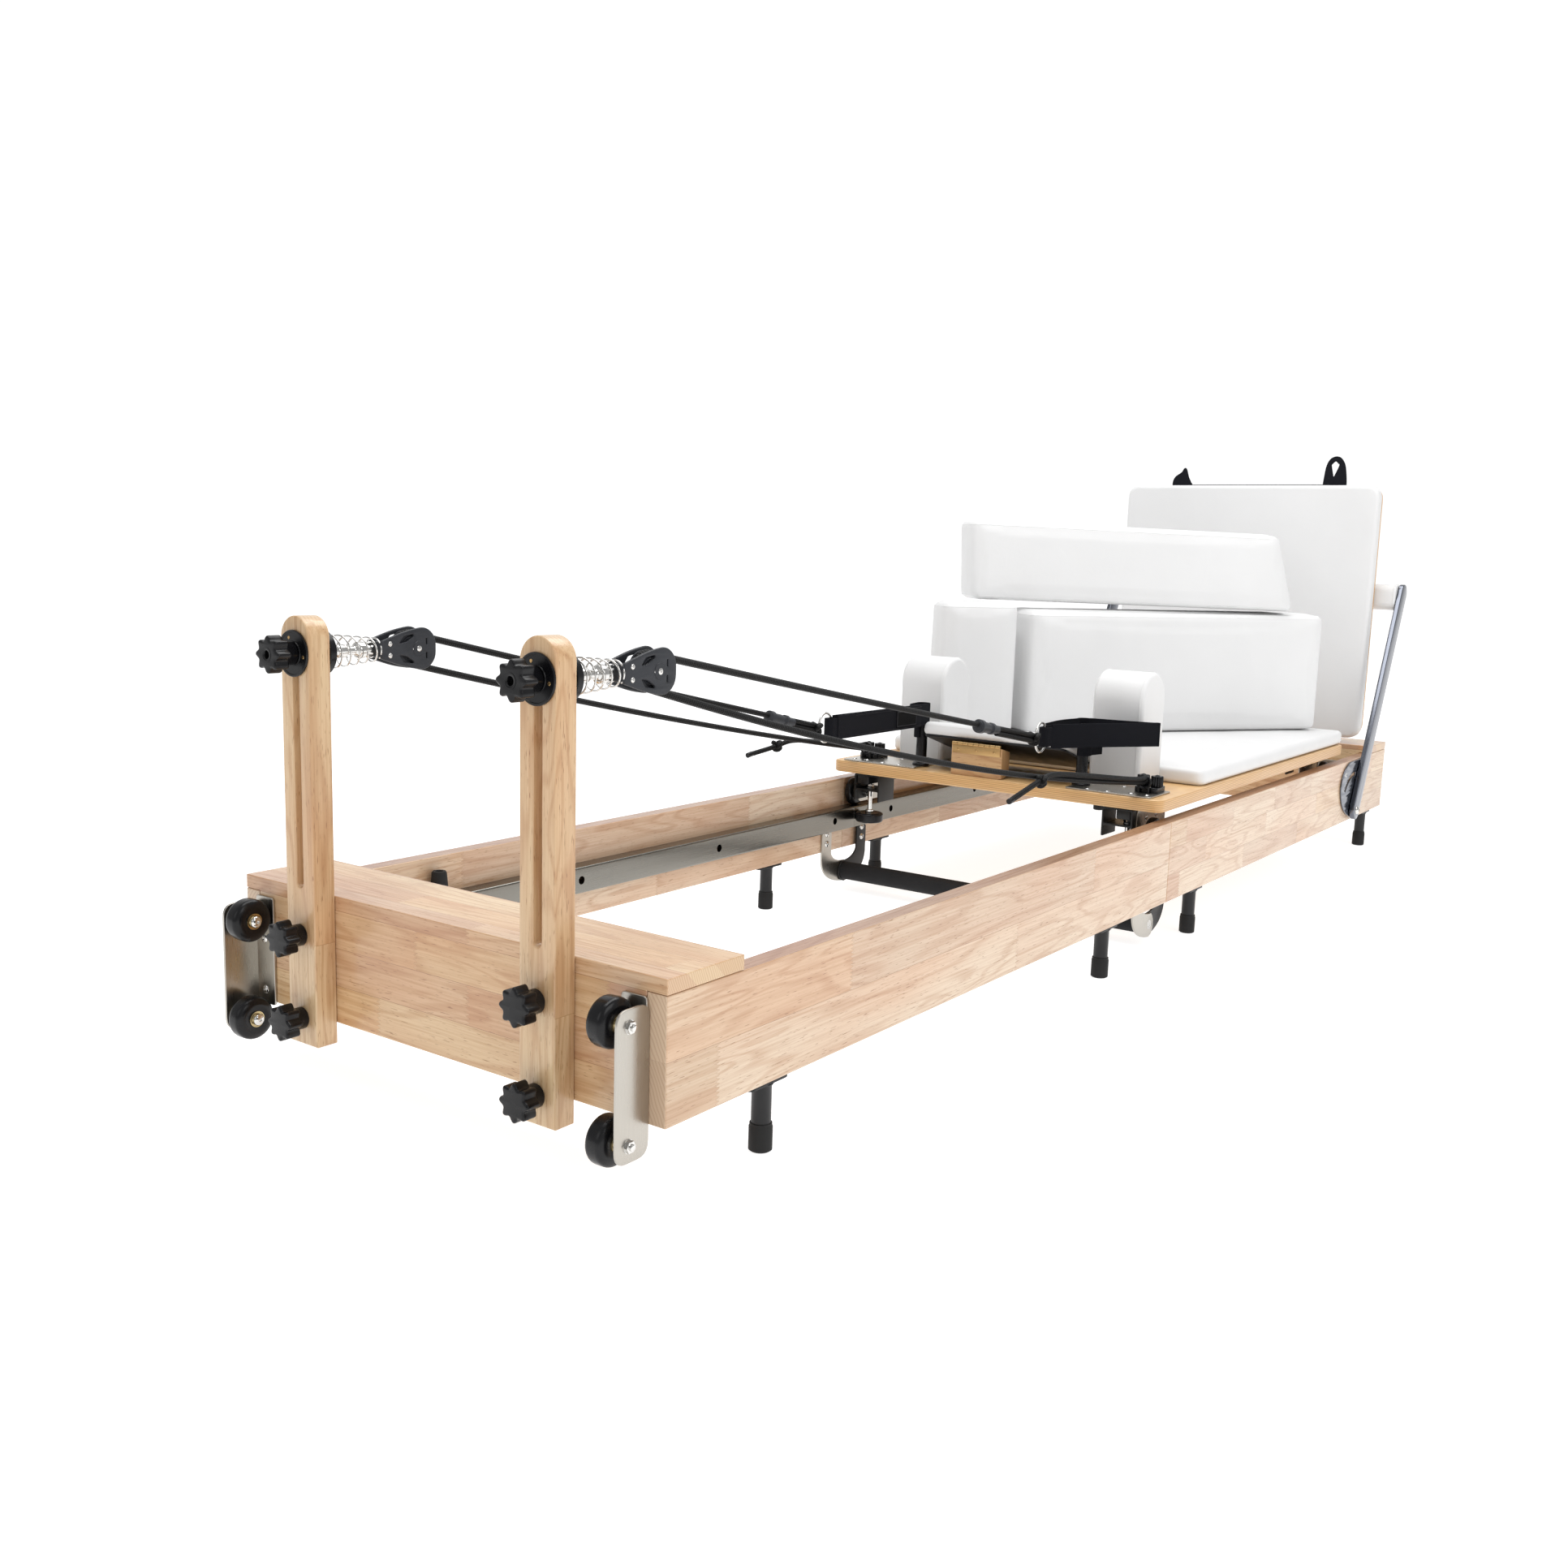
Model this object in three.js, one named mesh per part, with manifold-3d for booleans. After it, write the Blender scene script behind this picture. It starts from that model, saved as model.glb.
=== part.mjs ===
// Folding wooden pilates reformer. Millimetres, +Z up.
// While it is being laid out, X runs from the face of the head beam (X = 0) to the foot end, Y is 0 on the
// centre line and the floor is Z = 0. The finished group is then moved to put the origin under its middle.
import * as THREE from "three";
import { mergeVertices } from "three/addons/utils/BufferGeometryUtils.js";
import Module from "manifold-3d";

const wasm = await Module();
wasm.setup();

// ---------------------------------------------------------------- driving dimensions
const GAP = 0.3; // left between pieces that touch
const FRAME_WIDTH = 640;
const FRAME_LENGTH = 2456;
const HALF_WIDTH = FRAME_WIDTH / 2;
const RAIL_THICK = 25;
const RAIL_BOTTOM = 76;
const RAIL_TOP = 204;
const RAIL_INNER = HALF_WIDTH - RAIL_THICK;
const CAP_THICK = 16;
const CAP_TOP = RAIL_TOP + CAP_THICK;
const CAP_DEPTH = 115;
const FOLD_X = 1206; // where the two halves meet
const FOLD_Z = 36; // height of the folding axis, under the rails
const LEG_X = { head: [166, 995], foot: [1340, 2351] };
const LEG_Y = 307;

const TRACK_BOTTOM = 117;
const TRACK_TOP = 155;
const TRACK_WIDTH = 25;
const TRACK_WALL = 2;
const TRACK_FACE = RAIL_INNER - TRACK_WIDTH;

const POST_Y = 181;
const POST_WIDTH = 48;
const POST_DEPTH = 28;
const POST_BOTTOM = 53.5;
const POST_TOP = 525;
const SLOT_WIDTH = 11;
const SLOT_LOW = 236;
const SLOT_HIGH = 490;
const POST_BOLT_Z = [84, 178];

const PULLEY_X = 123;
const PULLEY_Z = 485;
const SHEAVE_RADIUS = 20;
const ROPE_RADIUS = 3.5;
const ROPE_WRAP = 17.5; // radius of the rope's centre line round the sheave
const GROOVE_RADIUS = 4.5;
const ROPE_SAG = 20;

const CASTOR_X = -28.5;
const CASTOR_Y = 276;
const CASTOR_Z = [64, 178];
const CASTOR_RADIUS = 24.5;
const CASTOR_HALF = 12;

const DECK_START = 1186;
const DECK_END = 2170;
const DECK_HALF = 308;
const DECK_BOTTOM = 218.5;
const DECK_TOP = 238.5;
const PAD_START = 1376;
const PAD_END = 2180;
const PAD_HALF = 303;
const PAD_TOP = 268;

const WHEEL_X = [1225, 2125];
const WHEEL_Y = 283;
const WHEEL_RADIUS = 24.7;
const WHEEL_Z = 180;
const WHEEL_HALF = 8;

const SHOULDER = { x0: 1281, x1: 1374, y0: 140, y1: 230, top: 425 };
const HEADREST = { hingeX: 1362, hingeZ: 247, length: 168, thick: 28, half: 136, tilt: 17.5 };
const PROP = { hingeX: 1193, hingeZ: 293, width: 96, y: 22, depth: 28, radius: 54 };
const PEG = { x: 1232, y: 152, radius: 9.5, top: 334 };
const CLEAT = { x: 1252, y: 262 };
const STRAP = { low: 312, high: 350, thick: 4 };

const BAR_PIVOT = { x: 2213, z: 98 };
const BAR_TOP = { x: 2441, z: 548 };
const BAR_PAD = { x0: 2407, x1: 2461, z0: 513, z1: 567, corner: 16 };
const BAR_WIDTH = 40;
const BAR_INNER = 324.3;
const BAR_THICK = 10;

const JUMP = { x0: 2356, padDepth: 33, boardDepth: 12, half: 285, bottom: 231, top: 777, corner: 30 };

// ---------------------------------------------------------------- materials
const material = (color, roughness, metalness = 0) =>
  new THREE.MeshStandardMaterial({ color, roughness, metalness });
const WOOD = material(0xdcb98c, 0.5);
const PLY = material(0xc98f52, 0.45);
const STEEL = material(0xb9b6b0, 0.28, 1);
const BLACK_STEEL = material(0x1b1b1c, 0.45, 0.4);
const RUBBER = material(0x161616, 0.8);
const KNOB_PLASTIC = material(0x0e0e0f, 0.25);
const PULLEY_PLASTIC = material(0x2c2d30, 0.4);
const ROPE_FIBRE = material(0x111112, 0.8);
const WEBBING = material(0x15161a, 0.85);
const WHITE_LEATHER = material(0xececea, 0.42);

// ---------------------------------------------------------------- solid helpers
function toSolid(geometry) {
  const bare = geometry.clone();
  bare.deleteAttribute("normal");
  bare.deleteAttribute("uv");
  const merged = mergeVertices(bare, 1e-4);
  const triVerts = new Uint32Array(merged.index.array);
  if (signedVolume(merged.attributes.position, triVerts) < 0) {
    triVerts.reverse();
  }
  const vertProperties = new Float32Array(merged.attributes.position.array);
  return new wasm.Manifold(new wasm.Mesh({ numProp: 3, vertProperties, triVerts }));
}

// Positive when the faces point out.
function signedVolume(position, triVerts) {
  const corners = [0, 1, 2].map(() => new THREE.Vector3());
  let volume = 0;
  for (let i = 0; i < triVerts.length; i += 3) {
    corners.forEach((corner, k) => corner.fromBufferAttribute(position, triVerts[i + k]));
    volume += corners[0].dot(corners[1].cross(corners[2])) / 6;
  }
  return volume;
}

function toGeometry(solid) {
  const mesh = solid.getMesh();
  const geometry = new THREE.BufferGeometry();
  geometry.setAttribute("position", new THREE.BufferAttribute(mesh.vertProperties.slice(), 3));
  geometry.setIndex(new THREE.BufferAttribute(mesh.triVerts.slice(), 1));
  return geometry;
}

function join(...geometries) {
  return toGeometry(geometries.map(toSolid).reduce((whole, piece) => whole.add(piece)));
}

function cut(geometry, ...tools) {
  return toGeometry(tools.map(toSolid).reduce((whole, tool) => whole.subtract(tool), toSolid(geometry)));
}

// A block given by its limits on each axis.
function block([x0, x1], [y0, y1], [z0, z1]) {
  const geometry = new THREE.BoxGeometry(x1 - x0, y1 - y0, z1 - z0);
  return geometry.translate((x0 + x1) / 2, (y0 + y1) / 2, (z0 + z1) / 2);
}

// Limits on one side of the centre line: side is +1 (left) or -1 (right).
function sided(side, near, far) {
  return side > 0 ? [near, far] : [-far, -near];
}

const AXIS_TURN = {
  x: new THREE.Matrix4().makeBasis(
    new THREE.Vector3(0, 1, 0), new THREE.Vector3(0, 0, 1), new THREE.Vector3(1, 0, 0)),
  y: new THREE.Matrix4().makeBasis(
    new THREE.Vector3(0, 0, 1), new THREE.Vector3(1, 0, 0), new THREE.Vector3(0, 1, 0)),
  z: new THREE.Matrix4(),
};

// An outline pulled along an axis. The outline's two directions are (y, z) for "x", (z, x) for "y" and
// (x, y) for "z".
function pull(shape, axis, [from, to], curveSegments = 4) {
  const geometry = new THREE.ExtrudeGeometry(shape, { depth: to - from, bevelEnabled: false, curveSegments });
  return geometry.translate(0, 0, from).applyMatrix4(AXIS_TURN[axis]);
}

// A turned piece: profile points are (radius, distance along the axis), starting and ending on the axis.
function turned(profile, axis, segments = 12) {
  const points = profile.map(([radius, along]) => new THREE.Vector2(radius, along));
  const geometry = new THREE.LatheGeometry(points, segments).rotateX(Math.PI / 2);
  return geometry.applyMatrix4(AXIS_TURN[axis]);
}

function rod(radius, axis, [from, to], segments = 12) {
  return turned([[0, from], [radius, from], [radius, to], [0, to]], axis, segments);
}

function ring(inner, outer, axis, [from, to], segments = 12) {
  return turned([[inner, from], [outer, from], [outer, to], [inner, to], [inner, from]], axis, segments);
}

function polygon(points) {
  return new THREE.Shape(points.map(([a, b]) => new THREE.Vector2(a, b)));
}

function roundedRect(a0, a1, b0, b1, radius) {
  const shape = new THREE.Shape();
  shape.moveTo(a0 + radius, b0);
  shape.lineTo(a1 - radius, b0).absarc(a1 - radius, b0 + radius, radius, -Math.PI / 2, 0);
  shape.lineTo(a1, b1 - radius).absarc(a1 - radius, b1 - radius, radius, 0, Math.PI / 2);
  shape.lineTo(a0 + radius, b1).absarc(a0 + radius, b1 - radius, radius, Math.PI / 2, Math.PI);
  shape.lineTo(a0, b0 + radius).absarc(a0 + radius, b0 + radius, radius, Math.PI, Math.PI * 1.5);
  return shape;
}

// A tube of the rope's section along a curve.
function ropeAlong(curve, steps) {
  const section = new THREE.Shape();
  section.absarc(0, 0, ROPE_RADIUS, 0, Math.PI * 2);
  return new THREE.ExtrudeGeometry(section, { extrudePath: curve, steps, curveSegments: 3 });
}

// ---------------------------------------------------------------- the group
const model = new THREE.Group();

function add(name, geometry, look) {
  const mesh = new THREE.Mesh(toGeometry(toSolid(geometry)), look);
  mesh.name = name;
  model.add(mesh);
  return mesh;
}

const SIDES = [["left", 1], ["right", -1]];

// ---------------------------------------------------------------- wooden frame
function rails(half, from, to) {
  for (const [word, side] of SIDES) {
    const rail = block([from, to], sided(side, RAIL_INNER, HALF_WIDTH), [RAIL_BOTTOM, RAIL_TOP]);
    add(`${half}_rail_${word}`, rail, WOOD);
  }
}

const PANEL_HALF = RAIL_INNER - GAP;
const PANEL_TOP = RAIL_TOP + CAP_THICK / 2;
const FOOT_PANEL_THICK = 12;
const BOLT_BORE = 4.6;
const BOLT_BORE_DEPTH = 14;

// The beam across an end: an outer and an inner panel under a cap board.
function endBoard(capFrom, outer, inner) {
  const panel = (span) => block(span, [-PANEL_HALF, PANEL_HALF], [RAIL_BOTTOM, PANEL_TOP]);
  const cap = block([capFrom, capFrom + CAP_DEPTH], [-HALF_WIDTH, HALF_WIDTH], [RAIL_TOP + GAP, CAP_TOP]);
  return join(cap, panel(outer), panel(inner));
}

function headEndBoard() {
  const board = endBoard(0, [0, RAIL_THICK], [CAP_DEPTH - RAIL_THICK, CAP_DEPTH]);
  const holes = SIDES.flatMap(([, side]) =>
    POST_BOLT_Z.map((z) => rod(BOLT_BORE, "x", [-1, BOLT_BORE_DEPTH], 8).translate(0, side * POST_Y, z)));
  return cut(board, ...holes);
}

const DOWEL = { x: 2378, y: 180, radius: 8, bottom: 196 };

function footEndBoard() {
  const start = FRAME_LENGTH - CAP_DEPTH;
  const board = endBoard(start, [FRAME_LENGTH - RAIL_THICK, FRAME_LENGTH], [start, start + FOOT_PANEL_THICK]);
  const holes = SIDES.map(([, side]) =>
    rod(DOWEL.radius + GAP, "z", [RAIL_BOTTOM, CAP_TOP + 1]).translate(DOWEL.x, side * DOWEL.y, 0));
  return cut(board, ...holes);
}

// ---------------------------------------------------------------- steel tracks
const TRACK_HOLE_RADIUS = 6;
const TRACK_HOLES = { head: [505, 818, 1145], foot: [1330, 1650, 1970, 2250] };
const STOPPER = { x: 255, inset: 12, low: 12, high: 9, height: 33 };

function track(side, from, to, holes) {
  const outer = block([from, to], sided(side, TRACK_FACE, RAIL_INNER - GAP), [TRACK_BOTTOM, TRACK_TOP]);
  const hollow = block([from - 1, to + 1], sided(side, TRACK_FACE + TRACK_WALL, RAIL_INNER + 1),
    [TRACK_BOTTOM + TRACK_WALL, TRACK_TOP - TRACK_WALL]);
  const middle = (TRACK_BOTTOM + TRACK_TOP) / 2;
  const drilled = holes.map((x) => rod(TRACK_HOLE_RADIUS, "y",
    sided(side, TRACK_FACE - 1, TRACK_FACE + TRACK_WALL + 1), 8).translate(x, 0, middle));
  return cut(outer, hollow, ...drilled);
}

function stopper(side) {
  const [base, tip] = [TRACK_TOP - 1, TRACK_TOP + STOPPER.height];
  const cone = [[0, base], [STOPPER.low, base], [STOPPER.high, tip], [0, tip]];
  return turned(cone, "z", 12).translate(STOPPER.x, side * (TRACK_FACE + STOPPER.inset), 0);
}

function tracks() {
  const headSpan = [CAP_DEPTH + 1, FOLD_X - GAP / 2];
  const footSpan = [FOLD_X + GAP / 2, FRAME_LENGTH - CAP_DEPTH - 1];
  for (const [word, side] of SIDES) {
    const head = track(side, ...headSpan, TRACK_HOLES.head);
    add(`head_track_${word}`, join(head, stopper(side)), STEEL);
    add(`foot_track_${word}`, track(side, ...footSpan, TRACK_HOLES.foot), STEEL);
  }
}

// ---------------------------------------------------------------- legs
const LEG = { sleeve: 12.5, sleeveTop: 30, tube: 10.5, flare: 15, plateX: 33, plateY: 11.5, plateThick: 3 };

function leg(x, y) {
  const top = RAIL_BOTTOM - GAP;
  const { sleeve, sleeveTop, tube, flare, plateX, plateY, plateThick } = LEG;
  const profile = [[0, 0], [sleeve, 0], [sleeve, sleeveTop], [tube, sleeveTop + 1],
    [tube, top - 4 * plateThick], [flare, top - 2], [0, top - 2]];
  const post = turned(profile, "z", 10).translate(x, y, 0);
  return join(post, block([x - plateX, x + plateX], [y - plateY, y + plateY], [top - plateThick, top]));
}

function legs() {
  for (const [half, places] of Object.entries(LEG_X)) {
    places.forEach((x, row) => {
      for (const [word, side] of SIDES) {
        add(`${half}_leg_${row + 1}_${word}`, leg(x, side * LEG_Y), BLACK_STEEL);
      }
    });
  }
}

// ---------------------------------------------------------------- folding hinge under the rails
const YOKE = { nearTab: 38, farTab: 68, tabLow: 62, tabHigh: 112, boss: 20, neck: 6, bend: 8, bolts: [91, 109] };

// A hinge arm's outline as (z, x): a bolted tab that curves down to a round boss on the folding axis.
function yokeOutline(direction) {
  const at = (offset) => FOLD_X + direction * offset;
  const shape = new THREE.Shape();
  shape.moveTo(YOKE.tabHigh, at(YOKE.nearTab));
  shape.lineTo(YOKE.tabHigh, at(YOKE.farTab));
  shape.lineTo(YOKE.tabLow, at(YOKE.farTab));
  shape.quadraticCurveTo(FOLD_Z - 14, at(YOKE.farTab - 4), FOLD_Z - YOKE.boss, at(0));
  shape.lineTo(FOLD_Z - YOKE.boss, at(-YOKE.neck));
  shape.quadraticCurveTo(FOLD_Z, at(-YOKE.boss - YOKE.bend), FOLD_Z + YOKE.boss - 2, at(-YOKE.neck));
  shape.quadraticCurveTo(FOLD_Z + 18, at(YOKE.nearTab - YOKE.bend), YOKE.tabLow + 10, at(YOKE.nearTab));
  return shape;
}

function yoke(direction, plate, spacerTo, pieces, bores) {
  const parts = [...pieces];
  for (const [, side] of SIDES) {
    parts.push(pull(yokeOutline(direction), "y", sided(side, ...plate), 4));
    const x = FOLD_X + direction * (YOKE.nearTab + YOKE.farTab) / 2;
    for (const z of YOKE.bolts) {
      parts.push(rod(6, "y", sided(side, plate[0] - 3, spacerTo), 8).translate(x, 0, z));
    }
  }
  return bores.length ? cut(join(...parts), ...bores) : join(...parts);
}

function foldYokes() {
  const footPlate = [287.7, 290.7];
  const headPlate = [291.4, RAIL_INNER - GAP];
  const atAxis = (geometry) => geometry.translate(FOLD_X, 0, FOLD_Z);
  const foam = atAxis(rod(16, "y", [-footPlate[0] - 1, footPlate[0] + 1], 14));
  const bore = atAxis(rod(9, "y", [-HALF_WIDTH, HALF_WIDTH], 12));
  const shaft = atAxis(rod(8, "y", [-headPlate[1], headPlate[1]], 10));
  add("foot_fold_yoke", yoke(1, footPlate, RAIL_INNER - GAP, [foam], [bore]), RUBBER);
  add("head_fold_yoke", yoke(-1, headPlate, headPlate[1], [shaft], []), STEEL);
}

// ---------------------------------------------------------------- head posts, knobs and castors
function ropePost(side) {
  const half = POST_WIDTH / 2;
  const outline = new THREE.Shape();
  outline.moveTo(-half, POST_BOTTOM);
  outline.lineTo(half, POST_BOTTOM);
  outline.lineTo(half, POST_TOP - half);
  outline.absarc(0, POST_TOP - half, half, 0, Math.PI);
  const slot = new THREE.Path();
  slot.moveTo(-SLOT_WIDTH / 2, SLOT_LOW);
  slot.absarc(0, SLOT_LOW, SLOT_WIDTH / 2, Math.PI, Math.PI * 2);
  slot.lineTo(SLOT_WIDTH / 2, SLOT_HIGH);
  slot.absarc(0, SLOT_HIGH, SLOT_WIDTH / 2, 0, Math.PI);
  outline.holes.push(slot);
  const post = pull(outline, "x", [-POST_DEPTH, -GAP], 8);
  const holes = POST_BOLT_Z.map((z) => rod(BOLT_BORE, "x", [-POST_DEPTH - 1, 1], 8).translate(0, 0, z));
  return cut(post, ...holes).translate(0, side * POST_Y, 0);
}

const KNOB_LOBES = 8;
const KNOB_RADIUS = 20;
const KNOB_HUB = 12;
const KNOB_HEAD = [-31, -13]; // the knob's head, from the face that it is tightened against
const KNOB_BORE = 4.6;

function knobOutline(bore) {
  const steps = KNOB_LOBES * 3;
  const shape = new THREE.Shape();
  for (let i = 0; i < steps; i += 1) {
    const angle = (i / steps) * Math.PI * 2;
    const radius = KNOB_RADIUS - 2.2 + 2.2 * Math.cos(angle * KNOB_LOBES);
    shape[i ? "lineTo" : "moveTo"](radius * Math.cos(angle), radius * Math.sin(angle));
  }
  if (bore) {
    shape.holes.push(new THREE.Path().absarc(0, 0, bore, 0, Math.PI * 2));
  }
  return shape;
}

// A star knob against the face at X = face, its head towards the head end.
function starKnob(face, stud) {
  const head = pull(knobOutline(0), "x", KNOB_HEAD.map((along) => face + along));
  const hub = rod(KNOB_HUB, "x", [face + KNOB_HEAD[1] - 1, face]);
  return join(head, hub, rod(4, "x", [face - 1, stud], 8));
}

function riserKnob(face) {
  const head = pull(knobOutline(KNOB_BORE), "x", KNOB_HEAD.map((along) => face + along));
  return join(head, ring(KNOB_BORE, KNOB_HUB, "x", [face + KNOB_HEAD[1] - 1, face]));
}

function headPosts() {
  for (const [word, side] of SIDES) {
    add(`rope_post_${word}`, ropePost(side), WOOD);
    POST_BOLT_Z.forEach((z, row) => {
      const knob = starKnob(-POST_DEPTH - GAP, 12).translate(0, side * POST_Y, z);
      add(`post_knob_${row + 1}_${word}`, knob, KNOB_PLASTIC);
    });
  }
}

const BRACKET = { inner: 266, outer: 300, thick: 3, flangeZ: [73, 200], reach: 46, round: 16, past: 17 };
// The castor axle, as (radius, distance from the centre line): bolt head, shank, spacer and nut.
const CASTOR_AXLE = [[0, 258], [7, 258], [7, 263.5], [4, 263.5], [4, 288.5], [7, 288.5], [7, 297.5],
  [6.5, 297.5], [6.5, 306], [0, 306]];

function castorBracket(side) {
  const { inner, outer, thick, flangeZ, reach, round, past } = BRACKET;
  const flange = block([-thick - GAP, -GAP], sided(side, inner, outer), flangeZ);
  const outline = roundedRect(CASTOR_Z[0] - past, CASTOR_Z[1] + past, -reach, -GAP, round);
  const parts = [flange, pull(outline, "y", sided(side, outer - thick, outer))];
  for (const z of CASTOR_Z) {
    const axle = CASTOR_AXLE.map(([radius, along]) => [radius, side * along]);
    parts.push(turned(axle, "y", 8).translate(CASTOR_X, 0, z));
  }
  return join(...parts);
}

// A wheel's half-section with a bore and chamfered edges.
function wheelProfile(bore, radius, edge, [from, to]) {
  return [[bore, from], [radius - edge, from], [radius, from + edge], [radius, to - edge],
    [radius - edge, to], [bore, to], [bore, from]];
}

function castorWheel(side, z) {
  const span = sided(side, CASTOR_Y - CASTOR_HALF, CASTOR_Y + CASTOR_HALF);
  return turned(wheelProfile(4.3, CASTOR_RADIUS, 4, span), "y", 16).translate(CASTOR_X, 0, z);
}

function castors() {
  for (const [word, side] of SIDES) {
    add(`castor_bracket_${word}`, castorBracket(side), STEEL);
    CASTOR_Z.forEach((z, row) => {
      add(`castor_wheel_${row + 1}_${word}`, castorWheel(side, z), RUBBER);
    });
  }
}

// ---------------------------------------------------------------- spring pulleys and ropes
const DISC = { radius: 25, backThick: 3, frontThick: 8 };
const STEM_RADIUS = 4.2;
const COIL = { from: 7, to: 77, wide: 20, narrow: 15 };
const NECK = { from: 74, to: 99, halfWidth: 13.5, halfHeight: 9 };
const CHEEK_THICK = 4;

// A cheek of the pulley, as (z, x): narrow at the neck and round at the nose.
function cheekOutline() {
  const shape = new THREE.Shape();
  shape.moveTo(-10, 76);
  shape.lineTo(-21, 112);
  shape.quadraticCurveTo(-26, 142, -12, 154);
  shape.lineTo(12, 154);
  shape.quadraticCurveTo(26, 142, 21, 112);
  shape.lineTo(10, 76);
  return shape;
}

function pulleyBlock() {
  const back = -POST_DEPTH - GAP;
  const stem = rod(STEM_RADIUS, "x", [back - DISC.backThick - 23, COIL.from - 1], 8);
  const disc = (span) => rod(DISC.radius, "x", span, 16);
  const coil = [[0, COIL.from], [COIL.wide, COIL.from], [COIL.narrow, COIL.to], [0, COIL.to]];
  const { halfWidth, halfHeight } = NECK;
  const neck = block([NECK.from, NECK.to], [-halfWidth, halfWidth], [-halfHeight, halfHeight]);
  const cheek = (side) => pull(cheekOutline(), "y", sided(side, halfWidth - CHEEK_THICK, halfWidth), 3);
  const axle = rod(3, "y", [-halfWidth - 1.5, halfWidth + 1.5], 8).translate(PULLEY_X, 0, 0);
  return join(stem, disc([back - DISC.backThick, back]), disc([0, DISC.frontThick]), turned(coil, "x"), neck,
    cheek(1), cheek(-1), axle);
}

const SHEAVE = { half: 7.5, groove: 5.2, bore: 3.3 };

function sheave() {
  const groove = [];
  for (let i = 0; i <= 4; i += 1) {
    const angle = Math.PI * (i / 4);
    groove.push([ROPE_WRAP - GROOVE_RADIUS * Math.sin(angle), -GROOVE_RADIUS * Math.cos(angle)]);
  }
  const { half, groove: lip, bore } = SHEAVE;
  const profile = [[bore, -half], [SHEAVE_RADIUS, -half], [SHEAVE_RADIUS, -lip], ...groove,
    [SHEAVE_RADIUS, lip], [SHEAVE_RADIUS, half], [bore, half], [bore, -half]];
  return turned(profile, "y", 18).translate(PULLEY_X, 0, 0);
}

// Where each rope's upper strand ends, at the ring of its hand strap.
const RING = { left: { x: 940, y: 146, z: 336 }, right: { x: 1105, y: 146, z: 335 } };
const RING_REACH = 22; // how far the ring stands out beyond the strap
const ROPE_END = { x: 1218, y: 262, z: 258 }; // where each lower strand ends, at its cleat

function rope(word, side) {
  const top = new THREE.Vector3(PULLEY_X, side * POST_Y, PULLEY_Z + ROPE_WRAP);
  const bottom = new THREE.Vector3(PULLEY_X, side * POST_Y, PULLEY_Z - ROPE_WRAP);
  const end = RING[word];
  const ringEnd = new THREE.Vector3(end.x - RING_REACH, side * end.y, end.z);
  const cleatEnd = new THREE.Vector3(ROPE_END.x, side * ROPE_END.y, ROPE_END.z);
  const sag = bottom.clone().lerp(cleatEnd, 0.5).add(new THREE.Vector3(0, 0, -2 * ROPE_SAG));
  const wrap = [];
  for (let i = 0; i <= 8; i += 1) {
    const angle = Math.PI * (0.5 + i / 8);
    wrap.push(new THREE.Vector3(PULLEY_X + ROPE_WRAP * Math.cos(angle), side * POST_Y,
      PULLEY_Z + ROPE_WRAP * Math.sin(angle)));
  }
  return join(
    ropeAlong(new THREE.LineCurve3(top, ringEnd), 1),
    ropeAlong(new THREE.CatmullRomCurve3(wrap), 12),
    ropeAlong(new THREE.QuadraticBezierCurve3(bottom, sag, cleatEnd), 10),
  );
}

function ropeGear() {
  for (const [word, side] of SIDES) {
    const place = (geometry) => geometry.translate(0, side * POST_Y, PULLEY_Z);
    add(`pulley_block_${word}`, place(pulleyBlock()), PULLEY_PLASTIC);
    add(`pulley_sheave_${word}`, place(sheave()), PULLEY_PLASTIC);
    add(`riser_knob_${word}`, place(riserKnob(-POST_DEPTH - 3 - 2 * GAP)), KNOB_PLASTIC);
    add(`rope_${word}`, rope(word, side), ROPE_FIBRE);
  }
}

// ---------------------------------------------------------------- carriage
function carriageBoard() {
  const outline = roundedRect(DECK_START, DECK_END, -DECK_HALF, DECK_HALF, 20);
  return pull(outline, "z", [DECK_BOTTOM, DECK_TOP], 4);
}

function carriagePad() {
  const outline = roundedRect(PAD_START, PAD_END, -PAD_HALF, PAD_HALF, 18);
  return pull(outline, "z", [DECK_TOP + GAP, PAD_TOP], 4);
}

function shoulderRest(side) {
  const { x0, x1, y0, y1, top } = SHOULDER;
  const radius = (x1 - x0) / 2;
  const outline = new THREE.Shape();
  outline.moveTo(DECK_TOP + GAP, x0);
  outline.lineTo(top - radius, x0);
  outline.absarc(top - radius, x0 + radius, radius, -Math.PI / 2, Math.PI / 2);
  outline.lineTo(DECK_TOP + GAP, x1);
  return pull(outline, "y", sided(side, y0, y1), 6);
}

const HANGER = { near: 210, far: 262, low: 171, depth: 50, wall: 3, shelf: 189, inset: 35, plate: 130 };
const GUIDE = { y: 244, radius: 24.5, low: 130, high: 147, bolt: 5 };
const AXLE_RADIUS = 6;

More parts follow.
